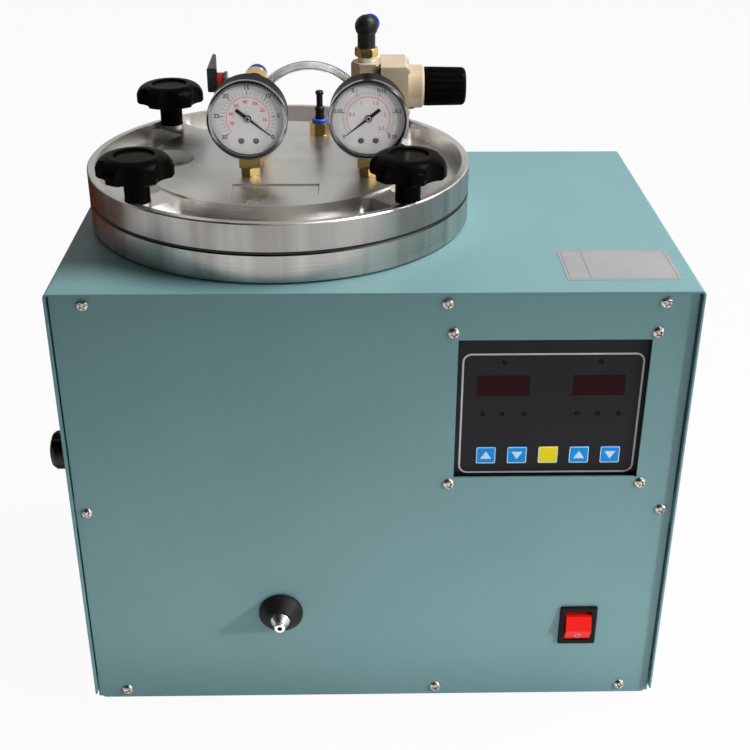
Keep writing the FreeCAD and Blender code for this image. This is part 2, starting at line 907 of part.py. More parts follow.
def rocker():
    """Two-faced rocker, drawn level and then tipped so that its lower half is in."""
    pivot_y = panel_inset + rocker_pivot_depth
    ridge_y = panel_inset - switch_flange_t - rocker_proud
    tilt = math.radians(rocker_tilt)
    swing = (pivot_y - ridge_y) * math.sin(tilt)
    half_h = (switch_open_h / 2 - rocker_clear - swing) / math.cos(tilt)
    edge_y = ridge_y + half_h * math.tan(math.radians(rocker_slope))
    skirt_y = edge_y + rocker_skirt
    foot_y = pivot_y + rocker_foot_l
    foot_h2 = rocker_foot_w / 2
    x0 = switch_x - switch_open_w / 2 + rocker_clear
    points = [V(x0, ridge_y, switch_z), V(x0, edge_y, switch_z + half_h),
              V(x0, skirt_y, switch_z + half_h), V(x0, foot_y, switch_z + foot_h2),
              V(x0, foot_y, switch_z - foot_h2), V(x0, skirt_y, switch_z - half_h),
              V(x0, edge_y, switch_z - half_h)]
    body = prism(points, V(switch_open_w - 2 * rocker_clear, 0, 0))
    hole = rod(rocker_pin_r + rocker_pin_run, 2 * switch_open_w,
               V(switch_x - switch_open_w, pivot_y, switch_z), X_AXIS)
    body = body.cut(hole)
    body.rotate(V(switch_x, pivot_y, switch_z), X_AXIS, rocker_tilt)
    return body


# ---- Wax pot and its closure
def stud_places():
    return [polar(stud_circle_r, angle) for angle in stud_angles]


def wax_pot():
    """Turned pot hung from a thick ring, with a rounded floor and an outlet."""
    c = ring_chamfer
    k = pot_corner_r
    floor = pot_floor_z
    under = floor - pot_wall
    bend = k * (1 - math.sqrt(0.5))
    outer_k = k + pot_wall
    outer_bend = outer_k * (1 - math.sqrt(0.5))
    outline = [
        (pot_bore_r, ring_top_z), (ring_r - c, ring_top_z), (ring_r, ring_top_z - c),
        (ring_r, ring_z + c), (ring_r - c, ring_z), (pot_out_r, ring_z),
        (pot_out_r, under + outer_k),
        ((pot_out_r - outer_bend, under + outer_bend), (pot_out_r - outer_k, under)),
        (0, under), (0, floor), (pot_bore_r - k, floor),
        ((pot_bore_r - bend, floor + bend), (pot_bore_r, floor + k)),
    ]
    pot = turned(outline, V(pot_x, pot_y, 0))
    for x, y in stud_places():
        pot = pot.cut(rod(stud_r + stud_fit, stud_depth,
                          V(pot_x + x, pot_y + y, ring_top_z - stud_depth)))
    return pot.cut(rod(duct_bore_r, 3 * pot_wall, V(nozzle_x, outlet_y, under - pot_wall)))


def pot_gasket():
    outer = ring_r - pot_gasket_inset
    return pipe(outer, outer - pot_gasket_w, pot_gasket_t, V(pot_x, pot_y, top_z))


def lid_seal():
    seal = pipe(ring_r - seal_inset, pot_bore_r + seal_bore_inset, seal_t, V(pot_x, pot_y, ring_top_z))
    for x, y in stud_places():
        seal = seal.cut(rod(stud_r + stud_hole_clear, 3 * seal_t,
                            V(pot_x + x, pot_y + y, ring_top_z - seal_t)))
    return seal


def lid_studs():
    length = stud_depth + seal_t + lid_h + stud_rise - lid_sink
    studs = []
    for x, y in stud_places():
        base = V(pot_x + x, pot_y + y, ring_top_z - stud_depth)
        studs.append(turned([(0, 0), (stud_r, 0), (stud_r, length - stud_point),
                             (stud_r - stud_point, length), (0, length)], base))
    return Part.makeCompound(studs)


def band_heater():
    """Clamped heater band with its two ears, round the lower part of the pot."""
    inner = pot_out_r + heater_clear
    outer = inner + heater_t
    base = V(pot_x, pot_y, pot_floor_z + heater_rise)
    middle_z = base.z + heater_h / 2
    band = pipe(outer, inner, heater_h, base)
    ears = box(pot_x + inner, pot_x + inner + heater_ear_l,
               pot_y - heater_ear_w / 2, pot_y + heater_ear_w / 2,
               middle_z - heater_ear_h / 2, middle_z + heater_ear_h / 2)
    split = box(pot_x + pot_bore_r, pot_x + inner + 2 * heater_ear_l,
                pot_y - heater_split / 2, pot_y + heater_split / 2,
                base.z - heater_h, base.z + 2 * heater_h)
    bore = rod(inner, heater_h, base)
    return band.fuse(ears.cut(bore)).cut(split)


def groove_bay(start, end):
    """One bay of the lid's annular groove, with rounded corners."""
    inner = lid_disc_r
    outer = ring_r - lid_rim_wall
    depth = lid_h - lid_floor
    section = [V(inner, 0, 0), V(outer, 0, 0), V(outer, 0, depth), V(inner, 0, depth)]
    face = Part.Face(Part.makePolygon(section + section[:1]))
    bay = face.revolve(V(0, 0, 0), Z_AXIS, end - start)
    upright = [e for e in bay.Edges if abs(e.BoundBox.ZLength - depth) < 0.01
               and e.BoundBox.XLength < 0.01 and e.BoundBox.YLength < 0.01]
    bay = bay.makeFillet(lid_bay_corner_r, upright)
    bay.rotate(V(0, 0, 0), Z_AXIS, start)
    return bay


def pot_lid():
    """Cast and turned lid: raised rim, central disc, four-bay groove between the
    sunk knob webs, finger pockets, and a spigot that centres it in the pot."""
    c = ring_chamfer
    outline = [(0, 0), (ring_r - c, 0), (ring_r, c), (ring_r, lid_h - c),
               (ring_r - c, lid_h), (ring_r - lid_rim_wall, lid_h),
               (ring_r - lid_rim_wall, lid_h - lid_sink), (0, lid_h - lid_sink)]
    lid = turned(outline, V(0, 0, 0))
    for angle in stud_angles:
        bay = groove_bay(angle + lid_web_half, angle + 90 - lid_web_half)
        bay.translate(V(0, 0, lid_floor))
        lid = lid.cut(bay)
    for side in (-1, 1):
        lid = lid.cut(rod(lid_pocket_r, lid_h, V(side * lid_pocket_reach, lid_pocket_y, lid_floor)))
    top = lid_h - lid_sink
    lid = lid.cut(pipe(ring_r - lid_rim_wall, lid_disc_r, lid_h, V(0, 0, top - lid_web_drop)))
    spigot_r = pot_bore_r - lid_spigot_clear
    lid = lid.fuse(pipe(spigot_r, spigot_r - lid_spigot_wall, lid_spigot_h,
                        V(0, 0, -lid_spigot_h)))
    lid = lid.cut(box(-plate_recess_w / 2, plate_recess_w / 2,
                      plate_recess_y - plate_recess_d / 2, plate_recess_y + plate_recess_d / 2,
                      top - plate_recess_depth, top + 1))
    for x, y in stud_places():
        lid = lid.cut(rod(stud_r + stud_hole_clear, 2 * lid_h, V(x, y, -lid_h / 2)))
        lid = lid.cut(rod(washer_r() + spot_face_clear, lid_h, V(x, y, top - lid_web_drop)))
    for x, y in fitting_places():
        lid = lid.cut(rod(port_r + port_fit, lid_h, V(x, y, top - port_depth)))
        lid = lid.cut(rod(port_bore_r, 2 * lid_h, V(x, y, -lid_h / 2)))
    lid.translate(V(pot_x, pot_y, lid_z))
    return lid


def fitting_places():
    """Threaded ports in the lid's disc."""
    return [(gauge_left_x, gauge_y), (gauge_right_x, gauge_y), (valve_x, valve_y),
            (reg_x, reg_y), (plug_x, plug_y)]


# ---- Star knobs
def star_knob(index):
    """Moulded star grip: domed lobes over a stem, with a round recess on top."""
    head_z = knob_stem_h
    skirt_z = head_z + knob_skirt_h
    top = skirt_z + knob_dome_h
    shoulder = knob_recess_r + knob_edge
    bend_r = shoulder + (knob_r - shoulder) * knob_dome_out
    bend_z = skirt_z + knob_dome_h * knob_dome_up
    outline = [
        (0, 0), (knob_stem_r, 0), (knob_stem_r, head_z), (knob_r - knob_edge, head_z),
        (knob_r, head_z + knob_edge), (knob_r, skirt_z), ((bend_r, bend_z), (shoulder, top)),
        (knob_recess_r, top), (knob_recess_r, top - knob_recess_depth),
        (0, top - knob_recess_depth),
    ]
    knob = turned(outline, V(0, 0, 0))
    for i in range(knob_lobes):
        x, y = polar(knob_r + knob_scallop_out, 360.0 / knob_lobes * i)
        knob = knob.cut(rod(knob_scallop_r, 2 * top, V(x, y, 0)))
    deep = stud_rise + lid_web_drop - washer_t + knob_bore_spare
    knob = knob.cut(rod(stud_r + knob_bore_clear, deep, V(0, 0, 0)))
    knob.rotate(V(0, 0, 0), Z_AXIS, knob_turns[index])
    x, y = stud_places()[index]
    knob.translate(on_web(x, y, washer_t))
    return knob


def washer_r():
    return knob_stem_r + washer_over


def knob_washers():
    return Part.makeCompound([
        pipe(washer_r(), stud_r + stud_hole_clear, washer_t, on_web(x, y))
        for x, y in stud_places()])


# ---- Gauges
def gauge_centre(x):
    """Middle of the gauge on its stem's axis; heights of its parts run forward."""
    return on_lid(x, gauge_y, gauge_rise)


def gauge_case(x):
    """Drawn can, open in front, with a step inside that carries the dial."""
    front = gauge_front_y - lens_back
    back = front - gauge_case_depth
    step = gauge_dial_step()
    ledge_r = gauge_case_r - gauge_wall
    inner_r = ledge_r - gauge_wall
    floor = back + gauge_wall
    corner = 2 * gauge_wall
    middle = corner * (1 - math.sqrt(0.5))
    case = turned([
        (0, back), (gauge_case_r - corner, back),
        ((gauge_case_r - middle, back + middle), (gauge_case_r, back + corner)),
        (gauge_case_r, front), (ledge_r, front), (ledge_r, step), (inner_r, step),
        (inner_r, floor), (0, floor)], gauge_centre(x), FRONT)
    neck = rod(gauge_neck_r + gauge_neck_fit, 2 * gauge_neck_sink,
               gauge_centre(x) - V(0, 0, gauge_case_r + gauge_neck_sink))
    return case.cut(neck)


def gauge_dial_step():
    """The dial's seat, forward of the gauge's stem axis."""
    return gauge_front_y - lens_t - dial_sink


def gauge_bezel(x):
    front = gauge_front_y
    start = front - bezel_h
    grip_r = gauge_case_r + fit_clear
    window_r = bezel_r - bezel_lip
    seat = front - lens_back + lens_t + fit_clear
    edge = bezel_lip / 2
    return turned([
        (grip_r, start), (bezel_r, start), (bezel_r, front - edge), (bezel_r - edge / 4, front - edge / 4),
        (bezel_r - edge, front), (window_r, front - edge / 4),
        (window_r, seat), (grip_r, seat)], gauge_centre(x), FRONT)


def gauge_lens(x):
    base = gauge_centre(x) + FRONT * (gauge_front_y - lens_back)
    return rod(gauge_case_r - fit_clear, lens_t, base, FRONT)


def gauge_dial(x):
    """Dial plate with its two screws and the spindle's bush, seated in the case."""
    base = gauge_centre(x) + FRONT * gauge_dial_step()
    hole_r = spindle_r + spindle_clear
    dial = pipe(gauge_case_r - gauge_wall - fit_clear, hole_r, dial_t, base, FRONT)
    for side in (-1, 1):
        place = base + V(side * gauge_screw_x, 0, -gauge_screw_drop) + FRONT * dial_t
        dial = dial.fuse(rod(gauge_screw_r, pointer_t, place, FRONT))
    bush = pipe(hole_r + bush_wall, hole_r, bush_l, base + Y_AXIS * bush_l, FRONT)
    return dial.fuse(bush)


def gauge_pointer(x, rest_angle):
    """Tapered needle with a bar tail.  The rest angle runs from +X towards +Z."""
    top = gauge_dial_step() + dial_t + pointer_t
    root = pointer_hub_r / 2
    wide = pointer_t * 1.5
    point = pointer_t * 0.3
    needle = prism([V(root, 0, -wide), V(pointer_reach, 0, -point), V(pointer_reach, 0, point),
                    V(root, 0, wide)], V(0, -pointer_t, 0))
    tail_half = pointer_hub_r / 2
    tail = box(-pointer_tail, -root, -pointer_t, 0, -tail_half, tail_half)
    hub = rod(pointer_hub_r, pointer_hub_h, V(0, 0, 0), FRONT)
    spindle = rod(spindle_r, dial_t + spindle_l, V(0, 0, 0), Y_AXIS)
    pointer = needle.fuse([tail, hub, spindle]).removeSplitter()
    pointer.rotate(V(0, 0, 0), Y_AXIS, -rest_angle)
    pointer.translate(gauge_centre(x) + FRONT * top)
    return pointer


def port_foot(x, y):
    """Threaded foot that fills a port in the lid's disc down to its gap."""
    return rod(port_r, port_depth - port_gap, on_lid(x, y, port_gap - port_depth))


def gauge_stem(x):
    """Brass stem: threaded foot, hexagon, and a square that meets the case."""
    centre = on_lid(x, gauge_y)
    nut = hexagon(gauge_nut_af, gauge_nut_h, centre)
    nut.rotate(centre, Z_AXIS, gauge_nut_turn)
    case_bottom = gauge_rise - gauge_case_r
    square_top = case_bottom - gauge_wall
    square = centred_box(centre.x, centre.y, gauge_flats_w, gauge_flats_d,
                         disc_z + gauge_nut_h, disc_z + square_top)
    neck = rod(gauge_neck_r, case_bottom + gauge_neck_sink - gauge_nut_h,
               on_lid(x, gauge_y, gauge_nut_h))
    stem = nut.fuse([port_foot(x, gauge_y), square, neck])
    return stem.cut(rod(gauge_bore_r, 2 * gauge_rise, on_lid(x, gauge_y, -gauge_rise)))


# ---- Valve, hose and fittings on the lid
def valve_axis_z():
    return disc_z + valve_rise


def tee(x, y, top_rise):
    """Brass tee: threaded foot, hexagon, upright pipe and a branch to the front."""
    nut = hexagon(tee_hex_af, tee_hex_h, on_lid(x, y))
    pipe_up = rod(tee_r, top_rise, on_lid(x, y))
    branch_length = y - hose_y - elbow_arm_r()
    branch = rod(tee_branch_r, branch_length, on_lid(x, y, tee_branch_rise), FRONT)
    body = port_foot(x, y).fuse([nut, pipe_up, branch])
    body = body.cut(rod(passage_r, 2 * top_rise, on_lid(x, y, top_rise), Z_AXIS * -1))
    return body.cut(rod(branch_bore_r, 2 * branch_length, on_lid(x, y, tee_branch_rise), FRONT))


def elbow_arm_r():
    return elbow_r - 2 * socket_wall_clear


def vacuum_valve():
    """Ball valve lying front to back on its tee, with the stem's boss on the left."""
    back_y = valve_y + valve_half_length
    centre = on_lid(valve_x, valve_y, valve_rise)
    body = rod(valve_r, 2 * valve_half_length,
               on_lid(valve_x, valve_y - valve_half_length, valve_rise), Y_AXIS)
    hexed = hexagon(valve_hex_af, valve_hex_l,
                    on_lid(valve_x, back_y - valve_hex_l, valve_rise), Y_AXIS)
    socket = rod(valve_socket_r, valve_socket_h, centre - V(0, 0, valve_socket_h))
    boss = rod(valve_boss_r, valve_x - lever_hub_face() - lever_gap, centre, LEFT)
    stem = rod(lever_stem_r, valve_x - lever_x, centre, LEFT)
    body = body.fuse([hexed, socket, boss, stem])
    body = body.cut(rod(tee_r + tee_fit, valve_tee_rise(), on_lid(valve_x, valve_y)))
    return body.cut(rod(passage_r, 2 * valve_half_length, centre, Y_AXIS))


def valve_tee_rise():
    """Height of the tee's pipe, which ends inside the valve's socket."""
    return valve_rise - tee_r


def lever_hub_face():
    """Right-hand face of the lever's steel eye, measured from the lid's centre."""
    return lever_x + lever_w / 2 + lever_hub_t + lever_plate_t


def valve_lever():
    """Sleeved lever, open position: it points back, splayed outwards, and tapers.
    Its moulded hub and the steel eye beside it turn on the valve's stem."""
    start_y = -lever_front
    end_y = lever_length - lever_front
    half_width = lever_w / 2
    low = lever_above - lever_h
    tip = lever_tip_w / 2
    side_view = prism([V(-lever_w, start_y, low), V(-lever_w, start_y, lever_above),
                       V(-lever_w, end_y, lever_above), V(-lever_w, end_y, lever_above - lever_tip_h)],
                      V(2 * lever_w, 0, 0))
    plan_view = prism([V(-half_width, start_y, -lever_h), V(half_width, start_y, -lever_h),
                       V(tip - lever_splay, end_y, -lever_h),
                       V(-tip - lever_splay, end_y, -lever_h)], V(0, 0, 2 * lever_h))
    bar = side_view.common(plan_view)
    long_edges = [e for e in bar.Edges if e.BoundBox.YLength > lever_length / 2]
    bar = bar.makeChamfer(lever_chamfer, long_edges)
    hub = rod(lever_hub_r, half_width + lever_hub_t, V(0, 0, 0), X_AXIS)
    eye = rod(lever_plate_r, lever_plate_t, V(half_width + lever_hub_t, 0, 0), X_AXIS)
    bore = rod(lever_stem_r + stem_run, 2 * (lever_w + lever_hub_t), V(0, 0, 0), X_AXIS)
    lever = bar.fuse([hub, eye]).cut(bore)
    lever.translate(on_lid(lever_x, valve_y, valve_rise))
    return lever


def socket_body(base, axis, radius, length):
    """Round push-in socket for the tube, and the cutter for its bore."""
    body = turned([(0, 0), (radius, 0), (radius, length - socket_edge),
                   (radius - socket_edge, length), (0, length)], base, axis)
    bore = rod(socket_r(), socket_depth, base + axis * (length - socket_depth), axis)
    return body, bore


def sleeve_r():
    return tube_r + tube_socket_clear + sleeve_wall


def socket_r():
    return sleeve_r() + socket_wall_clear


def release_collar(base, axis, radius):
    """Coloured collar whose sleeve runs into the socket, round the tube."""
    inner = tube_r + tube_socket_clear
    return turned([
        (inner, -sleeve_l), (sleeve_r(), -sleeve_l), (sleeve_r(), collar_gap),
        (radius, collar_gap), (radius, collar_t - socket_edge),
        (radius - socket_edge, collar_t), (inner, collar_t)], base, axis)


def hose_elbow(x):
    """Black push-in elbow turned up, standing on a tee's branch."""
    centre = on_lid(x, hose_y, tee_branch_rise)
    ball = Part.makeSphere(elbow_r, centre)
    arm, bore = socket_body(centre, Z_AXIS, elbow_arm_r(), elbow_arm)
    shank = rod(elbow_arm_r(), 2 * elbow_r, centre, Y_AXIS)
    elbow = ball.fuse([arm, shank]).cut(bore)
    spigot = rod(tee_branch_r + tee_fit, 2 * elbow_r, centre + V(0, elbow_arm_r(), 0), Y_AXIS)
    return elbow.cut(spigot).removeSplitter()


def clear_hose():
    """Arch of clear tube between the two elbows, plugged in at both ends."""
    arm_top = tee_branch_rise + elbow_arm
    span = reg_x - valve_x
    bend_r = span / 2
    left = on_lid(valve_x, hose_y, arm_top - socket_depth + tube_end_gap)
    shoulder = on_lid(valve_x, hose_y, arm_top + collar_t)
    crown = shoulder + V(bend_r, 0, bend_r)
    far = shoulder + V(span, 0, 0)
    right = left + V(span, 0, 0)
    path = Part.Wire([Part.makeLine(left, shoulder), Part.Arc(shoulder, crown, far).toShape(),
                      Part.makeLine(far, right)])
    tubes = []
    for radius in (tube_r, tube_bore_r):
        ring = Part.Wire(Part.makeCircle(radius, left, Z_AXIS))
        tubes.append(path.makePipeShell([ring], True, False))
    return tubes[0].cut(tubes[1])


def elbow_bodies():
    return Part.makeCompound([hose_elbow(valve_x), hose_elbow(reg_x), inlet_elbow()])


def inlet_axis():
    turn = math.radians(90 - inlet_arm_turn)
    return V(math.cos(turn), math.sin(turn), 0)


def inlet_elbow():
    """Push-in elbow on the regulator: upright barrel, ball bend, arm to the back."""
    foot = on_lid(reg_x, reg_y, reg_rise + reg_boss_h / 2 + inlet_tape_h + inlet_hex_h)
    bend = inlet_bend()
    barrel = rod(elbow_r, bend.z - foot.z, foot)
    ball = Part.makeSphere(elbow_ball_r, bend)
    arm, bore = socket_body(bend, inlet_axis(), inlet_arm_r, inlet_arm)
    stem = rod(inlet_stem_r + tee_fit, inlet_stem_l - inlet_hex_h, foot)
    return barrel.fuse([ball, arm]).cut(bore).cut(stem).removeSplitter()


def inlet_bend():
    return on_lid(reg_x, reg_y, reg_rise + reg_boss_h / 2 + inlet_rise)


def vacuum_socket_base():
    return on_lid(valve_x, valve_y + valve_half_length, valve_rise)


def release_collars():
    up = tee_branch_rise + elbow_arm
    return Part.makeCompound([
        release_collar(on_lid(valve_x, hose_y, up), Z_AXIS, collar_r),
        release_collar(on_lid(reg_x, hose_y, up), Z_AXIS, collar_r),
        release_collar(inlet_bend() + inlet_axis() * inlet_arm, inlet_axis(), inlet_collar_r),
        release_collar(vacuum_socket_base() + Y_AXIS * socket_depth, Y_AXIS, vacuum_collar_r),
        release_collar(on_lid(plug_x, plug_y, plug_hex_h), Z_AXIS, plug_collar_r)])


def inlet_hexagon():
    """Brass hexagon of the elbow, with its taped thread in the regulator's port."""
    top = reg_rise + reg_boss_h / 2
    seat = on_lid(reg_x, reg_y, top + inlet_tape_h)
    nut = hexagon(inlet_hex_af, inlet_hex_h, seat)
    thread = rod(inlet_tape_r, inlet_tape_h + inlet_thread_l,
                 on_lid(reg_x, reg_y, top - inlet_thread_l))
    return nut.fuse([thread, rod(inlet_stem_r, inlet_stem_l, seat)])


def plug_fitting():
    """Brass push-in fitting that the plug closes."""
    nut = hexagon(plug_hex_af, plug_hex_h, on_lid(plug_x, plug_y))
    bore = rod(socket_r(), socket_depth, on_lid(plug_x, plug_y, plug_hex_h - socket_depth))
    return nut.fuse(port_foot(plug_x, plug_y)).cut(bore)


def vacuum_socket():
    """Push-in socket screwed into the back end of the vacuum valve."""
    base = vacuum_socket_base()
    body, bore = socket_body(base, Y_AXIS, vacuum_socket_r, socket_depth)
    body = body.cut(bore.common(rod(valve_r, socket_depth, base + Y_AXIS * tube_end_gap, Y_AXIS)))
    return body.cut(rod(branch_bore_r, socket_depth, base, Y_AXIS))


def vacuum_tee():
    """Tee that carries the vacuum valve."""
    return tee(valve_x, valve_y, valve_tee_rise())


def brass_fittings():
    """Every other brass fitting screwed into the lid, the valve or the regulator."""
    return Part.makeCompound([
        gauge_stem(gauge_left_x), gauge_stem(gauge_right_x),
        tee(reg_x, reg_y, reg_rise - reg_boss_h / 2 + tee_in_regulator),
        inlet_hexagon(), plug_fitting(), vacuum_socket()])


def tube_plug():
    """Moulded stopper pushed into the spare fitting: waisted, with a domed head."""
    shank = plug_hex_h - socket_depth + tube_end_gap
    foot = plug_hex_h + collar_t
    top = plug_hex_h + plug_length
    neck = tube_r - plug_waist_in
    head = tube_r + plug_head_out
    ring_low = foot + plug_ring_share * (top - foot)
    ring_high = ring_low + plug_ring_t
    dome = top - plug_dome_h
    return turned([
        (0, shank), (tube_r, shank), (tube_r, foot), (head, foot),
        (tube_r, ring_low), (head, ring_low), (head, ring_high),
        (neck, ring_high + plug_taper), (neck, dome), (tube_r, dome + plug_flare_h),
        (tube_r, top - plug_crown_h), (neck, top), (0, top)], on_lid(plug_x, plug_y))


# ---- Regulator lying on its side
def regulator_body():
    """Die-cast body: square block with clipped corners and a hexagonal port boss."""
    half = reg_body_w / 2
    start = pot_x + reg_x + reg_body_start
    end = pot_x + reg_x + reg_body_end
    y = pot_y + reg_y
    z = disc_z + reg_rise
    block = box(start, end, y - half, y + half, z - half, z + half)
    rim = [e for e in block.Edges if e.BoundBox.XMin > end - 0.1 and e.BoundBox.ZLength < 0.1]
    block = block.makeChamfer(reg_clip, rim)
    long_edges = [e for e in block.Edges if e.BoundBox.XLength > end - start - reg_clip - 0.1
                  and e.BoundBox.YLength < 0.1 and e.BoundBox.ZLength < 0.1]
    block = block.makeFillet(reg_edge_r, long_edges)
    under = reg_rise - reg_boss_h / 2
    boss = hexagon(reg_boss_af, reg_boss_h, on_lid(reg_x + reg_boss_shift, reg_y, under))
    inset = 2 * reg_edge_r
    link = box(pot_x + reg_x, start + reg_edge_r,
               y - (reg_boss_af - inset) / 2, y + (reg_boss_af - inset) / 2,
               z - (reg_boss_h - inset) / 2, z + (reg_boss_h - inset) / 2)
    body = block.fuse([boss, link])
    body = body.cut(rod(inlet_tape_r + port_fit, 2 * reg_port_depth,
                        on_lid(reg_x, reg_y, under + reg_boss_h - reg_port_depth)))
    body = body.cut(rod(tee_r + tee_fit, tee_in_regulator, on_lid(reg_x, reg_y, under)))
    body = body.cut(rod(passage_r, reg_boss_h, on_lid(reg_x, reg_y, under)))
    corner_y = half - reg_screw_in
    corner_z = half - reg_screw_in
    for sy in (-1, 1):
        for sz in (-1, 1):
            place = V(end, y + sy * corner_y, z + sz * corner_z)
            body = body.fuse(rod(reg_screw_r, reg_screw_h, place, X_AXIS))
    return body


def regulator_bonnet():
    """Round bonnet with the stem that carries the knob."""
    length = reg_bonnet_end - reg_body_end
    base = on_lid(reg_x + reg_body_end, reg_y, reg_rise)
    bonnet = turned([(0, 0), (reg_bonnet_r, 0), (reg_bonnet_r, length - reg_edge_r),
                     (reg_bonnet_r - reg_edge_r, length), (0, length)], base, X_AXIS)
    return bonnet.fuse(rod(reg_stem_r, length + reg_stem_l, base, X_AXIS))


def regulator_knob():
    """Ribbed adjusting knob with a bevelled end."""
    n = reg_knob_length
    r = reg_knob_r
    knob = turned([(0, 0), (r - reg_knob_edge, 0), (r, reg_knob_edge_l),
                   (r - reg_knob_taper, n - reg_bevel_start),
                   (r - reg_bevel_break_in, n - reg_bevel_break),
                   (r - reg_bevel_in, n), (0, n)], V(0, 0, 0), X_AXIS)
    groove_r = reg_groove_share * reg_rib_depth
    for i in range(reg_knob_ribs):
        y, z = polar(r + groove_r - reg_rib_depth, 360.0 / reg_knob_ribs * i)
        knob = knob.cut(rod(groove_r, n, V(reg_rib_start, y, z), X_AXIS))
    knob = knob.cut(rod(reg_stem_r + stem_run, reg_stem_l + 2 * reg_knob_gap, V(0, 0, 0), X_AXIS))
    knob.translate(on_lid(reg_x + reg_bonnet_end + reg_knob_gap, reg_y, reg_rise))
    return knob


# ---- Nozzle
def nozzle_at(y):
    return V(nozzle_x, y, nozzle_z)


def nozzle_body():
    """Heated injection valve: neck through the panel, clamp nut, chamber and duct."""
    neck_front = panel_inset - nozzle_neck_h
    chamber_start = panel_inset + nozzle_collar_y - nozzle_fit
    chamber_end = nozzle_spring_start() + nozzle_spring_l + spring_seat_gap
    under = pot_floor_z - pot_wall
    body = rod(nozzle_body_r, outlet_y + duct_r + duct_end - panel_back_y,
               nozzle_at(panel_back_y), Y_AXIS)
    neck = rod(nozzle_neck_r, panel_back_y + nozzle_nut_h - neck_front,
               nozzle_at(neck_front), Y_AXIS)
    nut = hexagon(nozzle_nut_af, nozzle_nut_h, nozzle_at(panel_back_y), Y_AXIS)
    duct = rod(duct_r, under - nozzle_z, V(nozzle_x, outlet_y, nozzle_z))
    flange = rod(duct_r + duct_flange_over, duct_flange_t,
                 V(nozzle_x, outlet_y, under - duct_flange_t))
    body = body.fuse([neck, nut, duct, flange])
    guide = rod(nozzle_cone_r + nozzle_run, chamber_end - neck_front, nozzle_at(neck_front), Y_AXIS)
    chamber = rod(nozzle_collar_r + chamber_clear, chamber_end - chamber_start,
                  nozzle_at(chamber_start), Y_AXIS)
    along = rod(duct_bore_r, outlet_y - neck_front, nozzle_at(neck_front), Y_AXIS)
    down = rod(duct_bore_r, under - nozzle_z, V(nozzle_x, outlet_y, nozzle_z))
    return body.cut(guide.fuse([chamber, along, down]))


def nozzle_spring_start():
    return panel_inset + nozzle_collar_y + nozzle_collar_t + spring_seat_gap


def nozzle_cover():
    """Black insulating cone over the neck."""
    front = nozzle_cover_h
    neck_r = nozzle_neck_r + nozzle_fit
    neck_top = nozzle_neck_h + nozzle_fit
    hole_r = nozzle_cone_r + nozzle_cover_clear
    return turned([
        (neck_r, 0), (nozzle_cover_r, 0), (nozzle_cover_r, nozzle_cover_lip),
        (nozzle_cover_front_r, front), (hole_r, front), (hole_r, neck_top), (neck_r, neck_top)],
        nozzle_at(panel_inset), FRONT)


def nozzle_tip():
    """Plated tip: cone, waist and rounded lip with the wax hole, on a guided shank."""
    reach = nozzle_tip_reach
    front = nozzle_cover_h
    lip = nozzle_tip_r
    lip_z = reach - nozzle_lip_l / 2
    waist_z = reach - nozzle_lip_l
    collar_z = -nozzle_collar_y
    back = collar_z - nozzle_collar_t
    lip_corner = nozzle_lip_round * (1 - math.sqrt(0.5))
    return turned([
        (nozzle_hole_r, reach), (lip - nozzle_lip_round, reach),
        ((lip - lip_corner, reach - lip_corner), (lip, reach - nozzle_lip_round)),
        (lip, lip_z), (nozzle_waist_r, waist_z),
        (nozzle_cone_r, front), (nozzle_cone_r, collar_z), (nozzle_collar_r, collar_z),
        (nozzle_collar_r, back), (nozzle_bore_r, back), (nozzle_bore_r, waist_z),
        (nozzle_hole_r, lip_z)], nozzle_at(panel_inset), FRONT)


def nozzle_spring():
    """Square-wire coil spring between the tip's collar and the back of the chamber."""
    wire = nozzle_spring_wire
    rise = nozzle_spring_l - wire
    inner = nozzle_collar_r - spring_inset - wire
    helix = Part.makeHelix(rise / nozzle_spring_turns, rise, inner)
    corners = [V(inner, 0, -wire / 2), V(inner + wire, 0, -wire / 2),
               V(inner + wire, 0, wire / 2), V(inner, 0, wire / 2)]
    profile = Part.makePolygon(corners + corners[:1])
    spring = helix.makePipeShell([profile], True, True)
    return aimed(spring, nozzle_at(nozzle_spring_start() + wire / 2), Y_AXIS)


# ---- Valve on the left wall
def side_valve_at(x):
    return V(x, side_valve_y, side_valve_z)


def side_valve_body():
    """Bulkhead needle valve: nut outside, collar inside, stem for the knob."""
    wall = -half_w
    barrel = rod(side_body_r, side_body_l, side_valve_at(wall - side_proud), X_AXIS)
    collar = rod(side_body_r + side_collar_over, side_collar_t,
                 side_valve_at(wall + sheet_t), X_AXIS)
    nut = hexagon(side_nut_af, side_nut_h, side_valve_at(wall), LEFT)
    stem = rod(side_stem_r, side_knob_gap + side_stem_share * side_knob_length,
               side_valve_at(wall), LEFT)
    return barrel.fuse([collar, nut, stem])


def side_valve_knob():
    """Lobed hand knob pushed on the valve's stem."""
    r = side_knob_r
    n = side_knob_length
    hub = side_hub_share * r
    knob = turned([(0, 0), (hub, 0), (hub, side_hub_h), (r - side_knob_edge, side_hub_h),
                   (r, side_hub_h + side_knob_edge), (r, n - side_dome_h),
                   (side_crown_share * r, n - side_crown_h), (hub, n), (0, n)], V(0, 0, 0), LEFT)
    for i in range(side_knob_lobes):
        y, z = polar(r + side_scallop_out, 360.0 / side_knob_lobes * i + side_knob_turn)
        knob = knob.cut(rod(side_scallop_r, 2 * n, V(-2 * n, y, z), X_AXIS))
    bore = rod(side_stem_r + stem_run, side_stem_share * n + stem_run, V(0, 0, 0), LEFT)
    knob = knob.cut(bore)
    knob.translate(side_valve_at(-half_w - side_knob_gap))
    return knob


